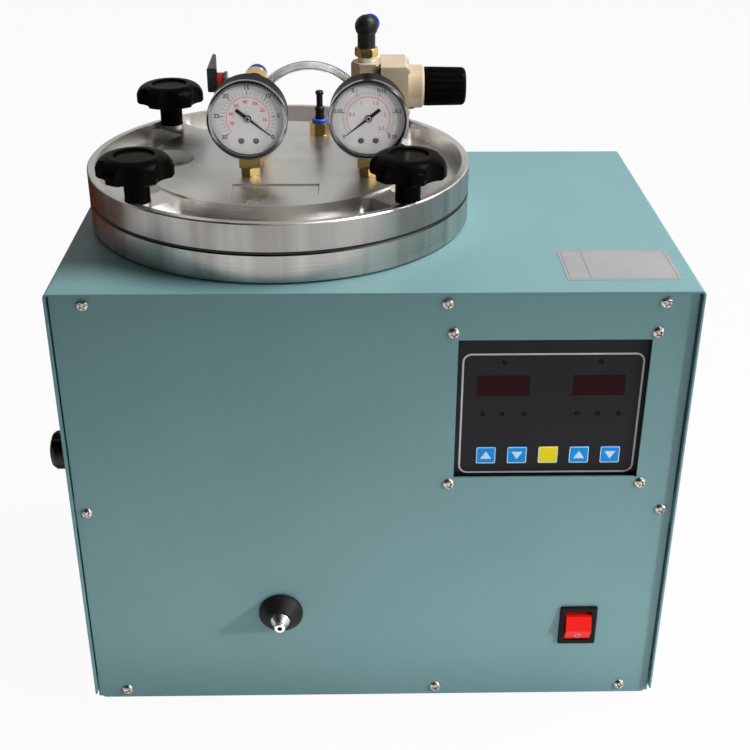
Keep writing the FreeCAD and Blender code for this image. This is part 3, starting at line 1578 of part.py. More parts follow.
# ---- Electrics
def mains_inlet():
    """Three-pin appliance inlet: flange outside, shroud and pins within."""
    face_y = rear_y + mains_flange_t
    floor_y = face_y - mains_depth
    corner = 2 * mains_wall
    flange = rounded_slab(mains_flange_w, mains_flange_h, corner, mains_flange_t,
                          mains_x, mains_z, rear_y)
    body = box(mains_x - mains_body_w / 2, mains_x + mains_body_w / 2,
               floor_y - mains_wall, rear_y, mains_z - mains_body_h / 2, mains_z + mains_body_h / 2)
    well = rounded_slab(mains_body_w - 2 * mains_wall, mains_body_h - 2 * mains_wall, mains_wall,
                        2 * mains_depth, mains_x, mains_z, floor_y)
    inlet = flange.fuse(body).cut(well)
    for x, z in mains_pins:
        pin_x = mains_x + x
        pin_z = mains_z + z
        inlet = inlet.fuse(box(pin_x - mains_pin_w / 2, pin_x + mains_pin_w / 2,
                               floor_y, floor_y + mains_pin_l,
                               pin_z - mains_pin_h / 2, pin_z + mains_pin_h / 2))
    for side in (-1, 1):
        x = mains_x + side * (mains_flange_w / 2 - mains_screw_edge)
        inlet = inlet.fuse(turned([(0, 0), (mains_screw_r, 0), (mains_screw_r / 2, mains_screw_h),
                                   (0, mains_screw_h)], V(x, face_y, mains_z), Y_AXIS))
    return inlet


def transformer():
    """Laminated core with its coil and two mounting feet on the tray's floor."""
    floor = base_z + tray_t
    x = transformer_x
    y = transformer_y
    core = centred_box(x, y, core_w, core_d, floor, floor + core_h)
    for side in (-1, 1):
        window_at = x + side * (core_w / 2 - core_limb - core_window_w / 2)
        core = core.cut(centred_box(window_at, y, core_window_w, 2 * core_d,
                                    floor + core_limb, floor + core_h - core_limb))
    coil = centred_box(x, y, coil_w, coil_d, floor + core_limb, floor + core_h - core_limb)
    coil = coil.makeFillet(coil_corner_r, upright_edges(coil))
    feet = centred_box(x, y, bracket_w, bracket_d, floor, floor + bracket_t)
    return core.fuse([coil, feet])


def upright_edges(shape):
    return [e for e in shape.Edges if e.BoundBox.XLength < 0.1 and e.BoundBox.YLength < 0.1]


def solenoid_valves():
    """Vacuum and air valves: block, coil and two spigots each, on the tray's floor."""
    floor = base_z + tray_t
    block_z = floor + solenoid_block_h
    coil_z = block_z + solenoid_coil_h
    y = solenoid_y
    valves = []
    for i in range(solenoids):
        x = solenoid_first_x + solenoid_pitch * i
        block = centred_box(x, y, solenoid_block, solenoid_block, floor, block_z)
        coil = centred_box(x, y, solenoid_coil_w, solenoid_coil_d, block_z, coil_z)
        coil = coil.makeFillet(solenoid_corner_r, upright_edges(coil))
        spigots = rod(solenoid_spigot_r, solenoid_spigot_l,
                      V(x, y - solenoid_spigot_l / 2, floor + solenoid_block_h / 2), Y_AXIS)
        cap = rod(solenoid_cap_r, solenoid_cap_h, V(x, y, coil_z))
        valves.append(block.fuse([coil, spigots, cap]))
    return Part.makeCompound(valves)


GAUGES = (("left", gauge_left_x, gauge_left_zero), ("right", gauge_right_x, gauge_right_zero))
KNOB_NAMES = ("back_right", "back_left", "front_left", "front_right")


def build():
    """Every sub-part under its own name."""
    parts = {
        "outer_cover": outer_cover(),
        "front_panel": front_panel(),
        "back_panel": back_panel(),
        "base_tray": base_tray(),
        "rubber_feet": rubber_feet(),
        "panel_screws": panel_screws(),
        "top_label": top_label(),
        "controller_plate": controller_plate(),
        "controller_screws": controller_screws(),
        "control_board": control_board(),
        "display_windows": display_windows(),
        "indicator_leds": indicator_leds(),
        "switch_bezel": switch_bezel(),
        "rocker": rocker(),
        "mains_inlet": mains_inlet(),
        "transformer": transformer(),
        "solenoid_valves": solenoid_valves(),
        "wax_pot": wax_pot(),
        "pot_gasket": pot_gasket(),
        "lid_seal": lid_seal(),
        "lid_studs": lid_studs(),
        "band_heater": band_heater(),
        "nozzle_body": nozzle_body(),
        "nozzle_cover": nozzle_cover(),
        "nozzle_tip": nozzle_tip(),
        "nozzle_spring": nozzle_spring(),
        "side_valve_body": side_valve_body(),
        "side_valve_knob": side_valve_knob(),
        "pot_lid": pot_lid(),
        "knob_washers": knob_washers(),
        "brass_fittings": brass_fittings(),
        "vacuum_tee": vacuum_tee(),
        "elbow_bodies": elbow_bodies(),
        "release_collars": release_collars(),
        "clear_hose": clear_hose(),
        "tube_plug": tube_plug(),
        "vacuum_valve": vacuum_valve(),
        "valve_lever": valve_lever(),
        "regulator_body": regulator_body(),
        "regulator_bonnet": regulator_bonnet(),
        "regulator_knob": regulator_knob(),
    }
    for index in range(key_count):
        parts["key_" + str(index + 1)] = membrane_key(index)
    for index, corner in enumerate(KNOB_NAMES):
        parts["star_knob_" + corner] = star_knob(index)
    for side, x, rest_angle in GAUGES:
        parts["gauge_case_" + side] = gauge_case(x)
        parts["gauge_bezel_" + side] = gauge_bezel(x)
        parts["gauge_lens_" + side] = gauge_lens(x)
        parts["gauge_dial_" + side] = gauge_dial(x)
        parts["gauge_pointer_" + side] = gauge_pointer(x, rest_angle)
    return parts


os.makedirs("parts", exist_ok=True)
PARTS = build()
for part_name, part_shape in PARTS.items():
    save(part_name, part_shape)
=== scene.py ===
import bpy
import bmesh
import math
from mathutils import Matrix, Vector


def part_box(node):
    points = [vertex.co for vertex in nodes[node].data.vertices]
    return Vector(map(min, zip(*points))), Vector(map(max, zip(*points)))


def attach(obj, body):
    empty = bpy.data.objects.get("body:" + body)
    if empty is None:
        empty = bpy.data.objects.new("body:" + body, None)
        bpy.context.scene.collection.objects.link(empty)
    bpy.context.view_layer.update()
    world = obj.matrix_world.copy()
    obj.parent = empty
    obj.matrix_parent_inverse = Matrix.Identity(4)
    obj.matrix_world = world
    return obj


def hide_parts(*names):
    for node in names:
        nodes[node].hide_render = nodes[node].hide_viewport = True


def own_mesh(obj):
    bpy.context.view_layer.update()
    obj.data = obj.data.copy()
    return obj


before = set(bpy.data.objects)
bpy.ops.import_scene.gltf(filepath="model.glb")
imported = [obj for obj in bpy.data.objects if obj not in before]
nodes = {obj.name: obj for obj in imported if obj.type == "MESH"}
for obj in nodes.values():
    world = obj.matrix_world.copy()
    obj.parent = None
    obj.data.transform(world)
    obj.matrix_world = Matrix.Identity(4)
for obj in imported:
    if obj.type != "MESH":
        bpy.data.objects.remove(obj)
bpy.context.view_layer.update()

# ---- Studio
# Pale floor that runs to the horizon, soft lamps above and beside the machine, two narrow
# beams on its foot and its lid, and a brown card at the left that only bright metal shows.
# The camera stands in front, a little above the lid, and looks down.
mm = 0.001
eye_x, eye_ahead, eye_height = -4.87, 674.29, 630.98
pitch, yaw, roll = 0.4882, -0.0207, -0.0036
eye = Vector((eye_x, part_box("outer_cover")[0].y / mm - eye_ahead, eye_height)) * mm
across = Vector((math.cos(yaw), math.sin(yaw), 0))
ahead = Vector((-math.sin(yaw), math.cos(yaw), 0))
look = ahead * math.cos(pitch) - Vector((0, 0, math.sin(pitch)))
above = ahead * math.sin(pitch) + Vector((0, 0, math.cos(pitch)))
right = across * math.cos(roll) - above * math.sin(roll)
up = across * math.sin(roll) + above * math.cos(roll)
camera = bpy.data.objects.new("camera", bpy.data.cameras.new("camera"))
camera.data.lens = 58.92
camera.data.sensor_width = 36.0
camera.data.clip_end = 100.0
aimed = Matrix((right, up, -look)).transposed().to_4x4()
camera.matrix_world = Matrix.Translation(eye) @ aimed
bpy.context.scene.collection.objects.link(camera)
bpy.context.scene.camera = camera
bpy.context.scene.view_settings.view_transform = "Standard"


def add(tree, kind, *terms, **named):
    """A node: terms fill its sockets in order, names in small letters are its settings and
    names with a capital its sockets."""
    made = tree.nodes.new(kind)
    for key in [key for key in named if key.islower()]:
        setattr(made, key, named.pop(key))
    sockets = list(zip(made.inputs, terms))
    sockets += [(made.inputs[key.replace("_", " ")], value) for key, value in named.items()]
    for socket, value in sockets:
        if isinstance(value, bpy.types.NodeSocket):
            tree.links.new(value, socket)
        else:
            socket.default_value = value
    return made


def reckon(tree, operation, *terms):
    """One step of arithmetic on sockets or plain numbers."""
    return add(tree, "ShaderNodeMath", *terms, operation=operation).outputs[0]


def ramp(tree, value, *stops):
    """Colours along a value, each stop a place and a colour or grey."""
    made = add(tree, "ShaderNodeValToRGB", value)
    keys = made.color_ramp.elements
    while len(keys) < len(stops):
        keys.new(0.5)
    for key, (place, tone) in zip(keys, stops):
        key.position = place
        key.color = (*tone, 1) if isinstance(tone, tuple) else (tone, tone, tone, 1)
    return made.outputs[0]


def mixed(tree, share, first, second, way="MIX"):
    """Two colours mixed, or multiplied, by a share."""
    made = add(tree, "ShaderNodeMix", share, data_type="RGBA", blend_type=way)
    tree.links.new(first, made.inputs[6])
    tree.links.new(second, made.inputs[7])
    return made.outputs[2]


def seen_by(tree, *kinds):
    """One for a ray of any of these kinds, nought for all others."""
    rays = add(tree, "ShaderNodeLightPath").outputs
    share = rays[kinds[0]]
    for kind in kinds[1:]:
        share = reckon(tree, "MAXIMUM", share, rays[kind])
    return share


def cover(tree, share, base, top, output="Material Output"):
    """Show another shader in place of the first one, by a share."""
    both = add(tree, "ShaderNodeMixShader", share, base.outputs[0], top.outputs[0])
    tree.links.new(both.outputs[0], tree.nodes[output].inputs["Surface"])


sky = bpy.data.worlds.new("sky")
sky.use_nodes = True
bpy.context.scene.world = sky
tree = sky.node_tree
dome = tree.nodes["Background"]
dome.inputs["Strength"].default_value = 0.55
heading = add(tree, "ShaderNodeSeparateXYZ",
              add(tree, "ShaderNodeTexCoord").outputs["Generated"]).outputs
by_height = ramp(tree, reckon(tree, "MULTIPLY_ADD", heading["Z"], 0.5, 0.5),
                 (0.48, 0.3), (0.53, 1.0), (0.8, 1.0), (0.86, 0.1))
by_side = ramp(tree, reckon(tree, "MULTIPLY_ADD", heading["Y"], 0.5, 0.5),
               (0.3, 0.05), (0.46, 0.1), (0.56, 1.0))
tree.links.new(mixed(tree, 1.0, by_height, by_side, "MULTIPLY"), dome.inputs["Color"])
pale = add(tree, "ShaderNodeBackground", Color=(0.95, 0.95, 0.95, 1), Strength=1.0)
cover(tree, seen_by(tree, "Is Camera Ray", "Is Transmission Ray"), dome, pale,
      output="World Output")


def lamp(name, kind, place, target, watts):
    """A lamp that hangs at its place and shines at its target."""
    made = bpy.data.objects.new(name, bpy.data.lights.new(name, kind))
    made.data.energy = watts
    made.location = place
    aim = Vector(target) - Vector(place)
    made.rotation_euler = aim.to_track_quat("-Z", "Y").to_euler()
    bpy.context.scene.collection.objects.link(made)
    return made


for name, place, target, size, watts in (
        ("high_light", (0.85, 0.0, 1.55), (0.0, 0.0, 0.3), (0.8, 0.8), 28.0),
        ("side_light", (1.6, -0.3, 1.0), (0.0, 0.0, 0.3), (0.9, 0.9), 3.0),
        ("front_light", (0.9, -1.3, 0.9), (0.0, -0.1, 0.35), (0.5, 0.5), 1.6),
        ("floor_card", (0.0, -0.32, 0.004), (0.0, -0.32, 1.0), (1.2, 0.3), 0.7)):
    panel = lamp(name, "AREA", place, target, watts)
    panel.data.shape = "RECTANGLE"
    panel.data.size, panel.data.size_y = size
    panel.visible_camera = False
for name, place, target, spread, watts in (
        ("low_beam", (1.3, -0.72, 0.66), (0.04, -0.13, 0.02), 28, 58.0),
        ("lid_beam", (0.9, -1.2, 1.0), (0.02, 0.05, 0.46), 18, 24.0)):
    beam = lamp(name, "SPOT", place, target, watts)
    beam.data.spot_size = math.radians(spread)
    beam.data.spot_blend = 1.0
    beam.data.shadow_soft_size = 0.1


def tree_of(name):
    """A new material with its node tree and its shader."""
    mat = bpy.data.materials.new(name)
    mat.use_nodes = True
    return mat, mat.node_tree, mat.node_tree.nodes["Principled BSDF"]


def noise(tree, where, scale, detail):
    """Cloudy greys over a place, the larger the scale the finer."""
    return add(tree, "ShaderNodeTexNoise", Vector=where, Scale=scale, Detail=detail).outputs["Fac"]


def roughness(tree, value, smooth, dull, near=0.3, far=0.7):
    """From smooth to dull as the value goes from near to far."""
    return add(tree, "ShaderNodeMapRange", value, near, far, smooth, dull).outputs[0]


def surface(tree, bsdf, tone, gloss, height, relief, depth):
    """Give a material its colour, its gloss and a relief this deep."""
    bump = add(tree, "ShaderNodeBump", Strength=relief, Distance=depth, Height=height)
    tree.links.new(tone, bsdf.inputs["Base Color"])
    tree.links.new(gloss, bsdf.inputs["Roughness"])
    tree.links.new(bump.outputs[0], bsdf.inputs["Normal"])


def finish(name, dark, light, rough, metal=0.0, grain=400.0, relief=0.1, depth=0.0001,
           spread=0.08, patch=25.0, shine=0.5):
    """Two-tone mottled finish: slow drift in colour and gloss, fine grain in the relief."""
    mat, tree, bsdf = tree_of(name)
    where = add(tree, "ShaderNodeTexCoord").outputs["Object"]
    drift, fine = noise(tree, where, patch, 4.0), noise(tree, where, grain, 3.0)
    blend = reckon(tree, "MULTIPLY_ADD", fine, 0.35, drift)
    surface(tree, bsdf, ramp(tree, blend, (0.45, dark), (0.9, light)),
            roughness(tree, drift, rough - spread / 2, rough + spread / 2), fine, relief, depth)
    bsdf.inputs["Metallic"].default_value = metal
    bsdf.inputs["Specular IOR Level"].default_value = shine
    return mat


def studio_card(name, corners, mat):
    """A flat card that belongs to the studio and not to the machine."""
    mesh = bpy.data.meshes.new(name)
    mesh.from_pydata(corners, [], [(0, 1, 2, 3)])
    mesh.materials.append(mat)
    made = bpy.data.objects.new(name, mesh)
    bpy.context.scene.collection.objects.link(made)
    return made


floor_reach = 12.0
paper = finish("floor_card", (0.55, 0.55, 0.55), (0.6, 0.6, 0.6), 0.8, grain=60, relief=0.0,
               patch=1.0)
tree = paper.node_tree
pale_share = reckon(tree, "MULTIPLY", seen_by(tree, "Is Camera Ray", "Is Glossy Ray",
                                              "Is Transmission Ray"), 0.95)
cover(tree, pale_share, tree.nodes["Principled BSDF"],
      add(tree, "ShaderNodeEmission", Strength=1.0))
studio_card("floor", [(x * floor_reach, y * floor_reach, 0)
                      for x, y in ((-1, -1), (1, -1), (1, 1), (-1, 1))], paper)

card_front, card_rear, card_height = (-0.5, -0.05), (-0.34, 0.7), 0.44
brown_card = studio_card(
    "brown_card", [(*card_front, 0.0), (*card_rear, 0.0), (*card_rear, card_height),
                   (*card_front, card_height)],
    finish("brown_cloth", (0.1, 0.035, 0.02), (0.16, 0.06, 0.035), 0.9, grain=60, patch=6.0,
           shine=0.0))
brown_card.visible_camera = False
brown_card.visible_shadow = False
brown_card.visible_diffuse = False

# ---- Sheet-metal cabinet
# Folded steel cover, inset front and rear panels and a slotted floor tray, screwed together
# and powder coated in one teal, semi gloss with a faint orange peel. It stands on four
# black rubber feet.
teal = finish("teal_powder_coat", (0.165, 0.315, 0.33), (0.19, 0.355, 0.37), 0.4, grain=900,
              relief=0.12, depth=0.00008, patch=6.0, shine=0.35)


def dress(mat, *names):
    """Give CAD nodes their finish."""
    for name in names:
        nodes[name].data.materials.clear()
        nodes[name].data.materials.append(mat)


dress(teal, "outer_cover", "front_panel", "back_panel", "base_tray")
dress(finish("foot_rubber", (0.02, 0.02, 0.02), (0.045, 0.045, 0.045), 0.7, grain=900,
             relief=0.3), "rubber_feet")

# ---- Rating plate
# Pale printed film stuck on the cover's right front corner: two fields behind a thin
# frame, left without words.
frame_in, second_field, line_wide, ink_t = 1.8, 14.9, 0.3, 0.03
dress(finish("plate_film", (0.3, 0.295, 0.3), (0.345, 0.34, 0.345), 0.5, grain=300,
             relief=0.02), "top_label")
ink = finish("dark_ink", (0.05, 0.05, 0.07), (0.09, 0.09, 0.11), 0.5, grain=900, relief=0.02)


def piece(name, mesh, mat, body, hides=()):
    """A mesh of the scene's own, riding on one of the machine's bodies."""
    made = bpy.data.objects.new(name, mesh)
    bpy.context.scene.collection.objects.link(made)
    mesh.materials.clear()
    mesh.materials.append(mat)
    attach(made, body)
    if hides:
        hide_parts(*hides)
    return made


def built(bm, name, mat, body, hides=(), outward=False, smooth=False):
    """The piece that a finished bmesh makes, its faces turned outward and smoothed if asked."""
    if outward:
        bmesh.ops.recalc_face_normals(bm, faces=bm.faces)
    mesh = bpy.data.meshes.new(name)
    bm.to_mesh(mesh)
    bm.free()
    if smooth:
        mesh.shade_smooth()
    return piece(name, mesh, mat, body, hides)


def flat_boxes(name, spans, mat, body):
    """Thin printed or raised bars, each given by its two corners in millimetres."""
    bm = bmesh.new()
    for low, high in spans:
        middle = [(a + b) / 2 * mm for a, b in zip(low, high)]
        size = [(b - a) * mm for a, b in zip(low, high)]
        bmesh.ops.create_cube(bm, size=1.0, matrix=Matrix.Translation(middle)
                              @ Matrix.Diagonal((*size, 1)))
    return built(bm, name, mat, body)


low, high = (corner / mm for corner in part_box("top_label"))
bars = [((x, low.y + frame_in, high.z), (x + line_wide, high.y - frame_in, high.z + ink_t))
        for x in (low.x + frame_in, low.x + second_field, high.x - frame_in - line_wide)]
bars += [((low.x + frame_in, y, high.z), (high.x - frame_in, y + line_wide, high.z + ink_t))
         for y in (low.y + frame_in, high.y - frame_in - line_wide)]
flat_boxes("plate_lines", bars, ink, "cabinet")

# ---- Pan-head screws
# Bright plated M4 pan heads with a cross recess, whose sunk faces are painted dark as shade:
# eight hold the front panel, four the rear panel and four the controller's plate.
head_radius, head_height = 4.0, 2.3
head_rings, head_steps = 22, 60
arm_half, arm_reach, arm_slope, cross_depth = 0.5, 2.0, 3, 1.3
recess_reach, recess_below = 2.7, 0.5
first_turn, next_turn = 0.5, 1.1
bright = finish("bright_plate", (0.44, 0.4, 0.38), (0.6, 0.56, 0.54), 0.3, metal=1.0, grain=500,
                relief=0.05)
# The cross's sunk faces get a near-black finish as painted shade.
recess = finish("recess_painted_shade", (0.008, 0.006, 0.005), (0.02, 0.015, 0.013), 0.5, grain=500)


def skin(bm, loops, closed=False):
    """Faces between neighbouring loops of points, and from the last to the first if closed."""
    made = []
    for a, b in zip(loops, loops[1:] + (loops[:1] if closed else [])):
        for j in range(len(a)):
            k = (j + 1) % len(a)
            made.append(bm.faces.new((a[j], a[k], b[k], b[j])))
    return made


def cross_arm(along, beside):
    """How deep one arm of the cross is at a point, from nought to one."""
    flank = max(0.0, 1 - max(abs(beside) - arm_half, 0) * arm_slope)
    return flank * max(0.0, 1 - max(abs(along) - arm_reach, 0) * arm_slope)


def screw_head(bm, centre, facing, turn):
    """Domed head in rings of points, whose middle sinks into a cross painted dark as shade."""
    side = Vector((1, 0, 0))
    upward = facing.cross(side)
    loops = []
    for i in range(1, head_rings + 1):
        share = i / head_rings
        r = head_radius * share
        loop = []
        for j in range(head_steps):
            a = 2 * math.pi * j / head_steps
            x, y = r * math.cos(a), r * math.sin(a)
            u = x * math.cos(turn) + y * math.sin(turn)
            v = y * math.cos(turn) - x * math.sin(turn)
            rise = head_height * (1 - share ** 2.6) ** 0.75
            rise -= cross_depth * max(cross_arm(v, u), cross_arm(u, v))
            loop.append(bm.verts.new(centre + (side * x + upward * y + facing * rise) * mm))
        loops.append(loop)
    # Faces sunk below the dome near the middle take the painted shade.
    for face in skin(bm, loops) + [bm.faces.new(loops[0])]:
        tops = [(vert.co - centre).dot(facing) / mm for vert in face.verts]
        near = (face.calc_center_median() - centre).length < recess_reach * mm
        if near and max(tops) < head_height - recess_below:
            face.material_index = 1


def islands(name):
    """Lowest and highest corners of each separate solid in a CAD node."""
    bm = bmesh.new()
    bm.from_mesh(nodes[name].data)
    bmesh.ops.remove_doubles(bm, verts=bm.verts, dist=1e-6)
    found, seen = [], set()
    for start in bm.verts:
        if start in seen:
            continue
        todo, group = [start], []
        seen.add(start)
        while todo:
            vert = todo.pop()
            group.append(vert.co.copy())
            for edge in vert.link_edges:
                other = edge.other_vert(vert)
                if other not in seen:
                    seen.add(other)
                    todo.append(other)
        low = Vector([min(v[i] for v in group) for i in range(3)])
        high = Vector([max(v[i] for v in group) for i in range(3)])
        found.append((low, high))
    bm.free()
    return found


for name in ("panel_screws", "controller_screws"):
    bm = bmesh.new()
    for number, (low, high) in enumerate(islands(name)):
        front = low.y < 0
        facing = Vector((0, -1 if front else 1, 0))
        seat = low.y + head_height * mm if front else high.y - head_height * mm
        centre = Vector(((low.x + high.x) / 2, seat, (low.z + high.z) / 2))
        screw_head(bm, centre, facing, first_turn + next_turn * number)
    heads = built(bm, name + "_heads", bright, "cabinet", hides=(name,), outward=True,
                  smooth=True)
    heads.data.materials.append(recess)

# ---- Controller
# Black membrane over a steel plate behind the window: a pale rounded border, two dark red
# display windows, small lamps and five keys with raised faces. The circuit board hangs
# behind the plate.
key_proud, print_t, corner_steps = 0.5, 0.04, 8
border_shift, border_half, border_corner, border_wide = (0.5, -5.0), (57.5, 44.0), 6.0, 1.2
dress(finish("black_membrane", (0.005, 0.005, 0.008), (0.009, 0.009, 0.012), 0.5, grain=1500,
             relief=0.1, depth=0.00003, shine=0.2), "controller_plate")
dress(finish("display_red", (0.02, 0.0008, 0.003), (0.028, 0.001, 0.004), 0.3, grain=200,
             relief=0.0, shine=0.08), "display_windows")
dress(finish("lamp_red", (0.02, 0.002, 0.003), (0.03, 0.003, 0.004), 0.6, grain=300, relief=0.0,
             shine=0.1), "indicator_leds")
dress(finish("circuit_resin", (0.02, 0.12, 0.05), (0.03, 0.16, 0.07), 0.4, grain=200),
      "control_board")
pale_ink = finish("pale_ink", (0.5, 0.51, 0.52), (0.6, 0.61, 0.62), 0.45, grain=700, relief=0.02)


def round_frame(name, centre, half, corner, wide, front, mat, body):
    """A thin printed line round a rectangle with round corners, facing forward."""
    bm = bmesh.new()
    loops = []
    for grow, depth in ((0, 0), (0, print_t), (-wide, print_t), (-wide, 0)):
        loop = []
        for quarter, (sx, sz) in enumerate(((1, 1), (-1, 1), (-1, -1), (1, -1))):
            r = corner + grow
            for step in range(corner_steps + 1):
                a = math.radians(90 * quarter + 90 * step / corner_steps)
                x = centre[0] + sx * (half[0] - corner) + r * math.cos(a)
                z = centre[1] + sz * (half[1] - corner) + r * math.sin(a)
                loop.append(bm.verts.new(Vector((x, front - depth, z)) * mm))
        loops.append(loop)
    skin(bm, loops, closed=True)
    return built(bm, name, mat, body, outward=True)


low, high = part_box("controller_plate")
plate_x, plate_z = (low.x + high.x) / 2 / mm, (low.z + high.z) / 2 / mm
membrane_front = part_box("key_1")[0].y / mm + key_proud
round_frame("membrane_border", (plate_x + border_shift[0], plate_z + border_shift[1]),
            border_half, border_corner, border_wide, membrane_front, pale_ink, "cabinet")

outline_half, outline_corner, outline_wide = (6.3, 6.05), 1.0, 0.5
arrow_corners, arrow_t = ((-3.6, -2.6), (3.6, -2.6), (0.0, 3.0)), 0.05
yellow_key, keys_pointing_up = 3, (1, 4)
key_white = finish("key_white", (0.62, 0.78, 0.88), (0.72, 0.86, 0.94), 0.45, grain=700,
                   relief=0.02)
blue = finish("key_blue", (0.004, 0.28, 0.8), (0.008, 0.33, 0.9), 0.4, grain=600, relief=0.03,
              shine=0.12)
yellow = finish("key_yellow", (0.92, 0.72, 0.006), (1.0, 0.8, 0.01), 0.4, grain=600, relief=0.03,
                shine=0.12)
for number in range(1, 6):
    key = "key_%d" % number
    dress(yellow if number == yellow_key else blue, key)
    low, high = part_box(key)
    middle = (low + high) / 2 / mm
    front = low.y / mm
    round_frame(key + "_outline", (middle.x, middle.z), outline_half, outline_corner,
                outline_wide, front, key_white, key)
    if number == yellow_key:
        continue
    point = 1 if number in keys_pointing_up else -1
    bm = bmesh.new()
    caps = [[bm.verts.new(Vector((middle.x + x, front - depth, middle.z + z * point)) * mm)
             for x, z in arrow_corners] for depth in (0.0, arrow_t)]
    for cap in caps:
        bm.faces.new(cap)
    skin(bm, caps)
    built(bm, key + "_arrow", key_white, key, outward=True)

# ---- Power switch
# Snap-in rocker switch: black bezel, translucent red rocker whose lower half is pressed in,
# with a plain ring moulded near its lower edge. The mains inlet at the rear is moulded in
# the same black plastic.
black_plastic = finish("black_moulding", (0.005, 0.004, 0.004), (0.01, 0.008, 0.008), 0.4,
                       grain=900, relief=0.1, shine=0.1)
dress(black_plastic, "switch_bezel", "mains_inlet")
dress(finish("red_rocker", (0.9, 0.006, 0.004), (1.0, 0.01, 0.006), 0.2, grain=300, relief=0.02,
             shine=0.15), "rocker")
ridge_below_middle, ring_below_ridge, face_slope = 1.4, 6.6, math.radians(26)
ring_radius, ring_tall, ring_half, ring_rise = 1.9, 1.3, 0.3, 0.15
ring_steps, ring_section = 40, 10
low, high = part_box("switch_bezel")
ridge = Vector(((low.x + high.x) / 2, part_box("rocker")[0].y, (low.z + high.z) / 2)) / mm
ridge.z -= ridge_below_middle
centre = ridge + Vector((0, math.sin(face_slope), -math.cos(face_slope))) * ring_below_ridge
lean = Matrix.Rotation(face_slope, 3, "X")
bm = bmesh.new()
loops = []
for i in range(ring_steps):
    a = 2 * math.pi * i / ring_steps
    loop = []
    for j in range(ring_section):
        b = 2 * math.pi * j / ring_section
        r = ring_radius + ring_half * math.cos(b)
        point = Vector((r * math.cos(a), ring_rise * math.sin(b), ring_tall * r * math.sin(a)))
        loop.append(bm.verts.new((centre + lean @ point) * mm))
    loops.append(loop)
skin(bm, loops, closed=True)
built(bm, "rocker_ring", finish("ring_pink", (0.75, 0.3, 0.28), (0.85, 0.38, 0.36), 0.4),
      "rocker", outward=True, smooth=True)

# ---- Nozzle
# Matt black insulating cone round a plated brass tip with a rounded lip and a small wax
# hole. A coil spring round the brass body holds the tip out.
dress(finish("cone_black", (0.005, 0.005, 0.005), (0.011, 0.01, 0.01), 0.55, grain=900,
             relief=0.2, shine=0.25), "nozzle_cover")
dress(finish("tip_plate", (0.72, 0.71, 0.69), (0.88, 0.87, 0.85), 0.27, metal=1.0, grain=300,
             relief=0.03), "nozzle_tip")
turned_brass = finish("turned_brass", (0.78, 0.55, 0.18), (0.95, 0.7, 0.3), 0.3, metal=1.0,
                      grain=900, relief=0.08)
dress(turned_brass, "nozzle_body")
low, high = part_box("nozzle_spring")
coil = piece("nozzle_coil", nodes["nozzle_spring"].data.copy(), bright, "cabinet",
             hides=("nozzle_spring",))
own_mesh(coil)

# ---- Side valve
# Brass needle valve screwed into the left wall, with a small lobed hand knob of dark
# brown phenolic.
dress(turned_brass, "side_valve_body")
dress(finish("brown_phenolic", (0.008, 0.006, 0.005), (0.015, 0.011, 0.009), 0.33, grain=400,
             relief=0.12, shine=0.2), "side_valve_knob")

# ---- Wax pot ring and lid
# Turned aluminium: lathe rings on every surface, brightest on the rims, with the outer wall
# painted darker as shade in faint upright bands and painted shade in the gap at the black
# rubber seal between ring and lid. Painted shade lies along the foot of the walls of a
# shallow pocket milled into the lid for a plate.
low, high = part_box("pot_lid")
lid_middle = Vector(((low.x + high.x) / 2, (low.y + high.y) / 2, 0))
lid_edge, lid_top = (high.x - low.x) / 2, high.z / mm
seal_low, seal_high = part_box("lid_seal")
wall_shade_depth, seam_shade_depth, seam_shade_past_seal = 0.4, 1.2, 0.85


def lathed(name, dark, light, rough, ring_pitch, wall):
    """Aluminium turned about the pot's axis: fine rings run round every face, the outer
    wall is painted darker as shade, in faint upright bands, and the edges at the seal are
    painted dark as shade in the gap."""
    mat, tree, bsdf = tree_of(name)
    where = add(tree, "ShaderNodeVectorMath", add(tree, "ShaderNodeTexCoord").outputs["Object"],
                lid_middle, operation="SUBTRACT").outputs[0]
    parts = add(tree, "ShaderNodeSeparateXYZ", where).outputs
    flat = add(tree, "ShaderNodeCombineXYZ", parts["X"], parts["Y"]).outputs[0]
    reach = add(tree, "ShaderNodeVectorMath", flat, operation="LENGTH").outputs["Value"]
    place = add(tree, "ShaderNodeCombineXYZ", reach, parts["Z"]).outputs[0]
    rings = noise(tree, place, 1 / ring_pitch, 2.0)
    cloud = noise(tree, where, 28.0, 5.0)
    bright_face = ramp(tree, reckon(tree, "ADD", rings, cloud), (0.7, dark), (1.0, light))
    upright = add(tree, "ShaderNodeMapping", Vector=where, Scale=(1, 1, 0.02)).outputs[0]
    # Painted shade on the outer wall: its colour is multiplied by a factor below one, in faint
    # upright bands.
    bands = ramp(tree, noise(tree, upright, 45.0, 3.0),
                 (0.38, (wall * 0.74, wall * 0.7, wall * 0.67)), (0.5, wall * 0.92),
                 (0.62, (wall * 1.12, wall * 1.1, wall * 1.08)))
    outside = reckon(tree, "GREATER_THAN", reach, lid_edge - wall_shade_depth * mm)
    wall_shaded = mixed(tree, outside, bright_face, bands, "MULTIPLY")
    # Painted shade in the gap at the seal: a near-black mottle on the edges in a band round the
    # seal.
    near_edge = reckon(tree, "GREATER_THAN", reach, lid_edge - seam_shade_depth * mm)
    level = reckon(tree, "COMPARE", parts["Z"], (seal_low.z + seal_high.z) / 2,
                   (seal_high.z - seal_low.z) / 2 + seam_shade_past_seal * mm)
    tone = mixed(tree, reckon(tree, "MULTIPLY", near_edge, level), wall_shaded,
                 ramp(tree, cloud, (0.3, 0.012), (0.7, 0.03)))
    surface(tree, bsdf, tone, roughness(tree, cloud, rough - 0.06, rough + 0.08), rings, 0.1,
            0.00012)
    turn = add(tree, "ShaderNodeTangent", direction_type="RADIAL", axis="Z")
    tree.links.new(turn.outputs[0], bsdf.inputs["Tangent"])
    bsdf.inputs["Metallic"].default_value = 1.0
    bsdf.inputs["Anisotropic"].default_value = 0.4
    return mat
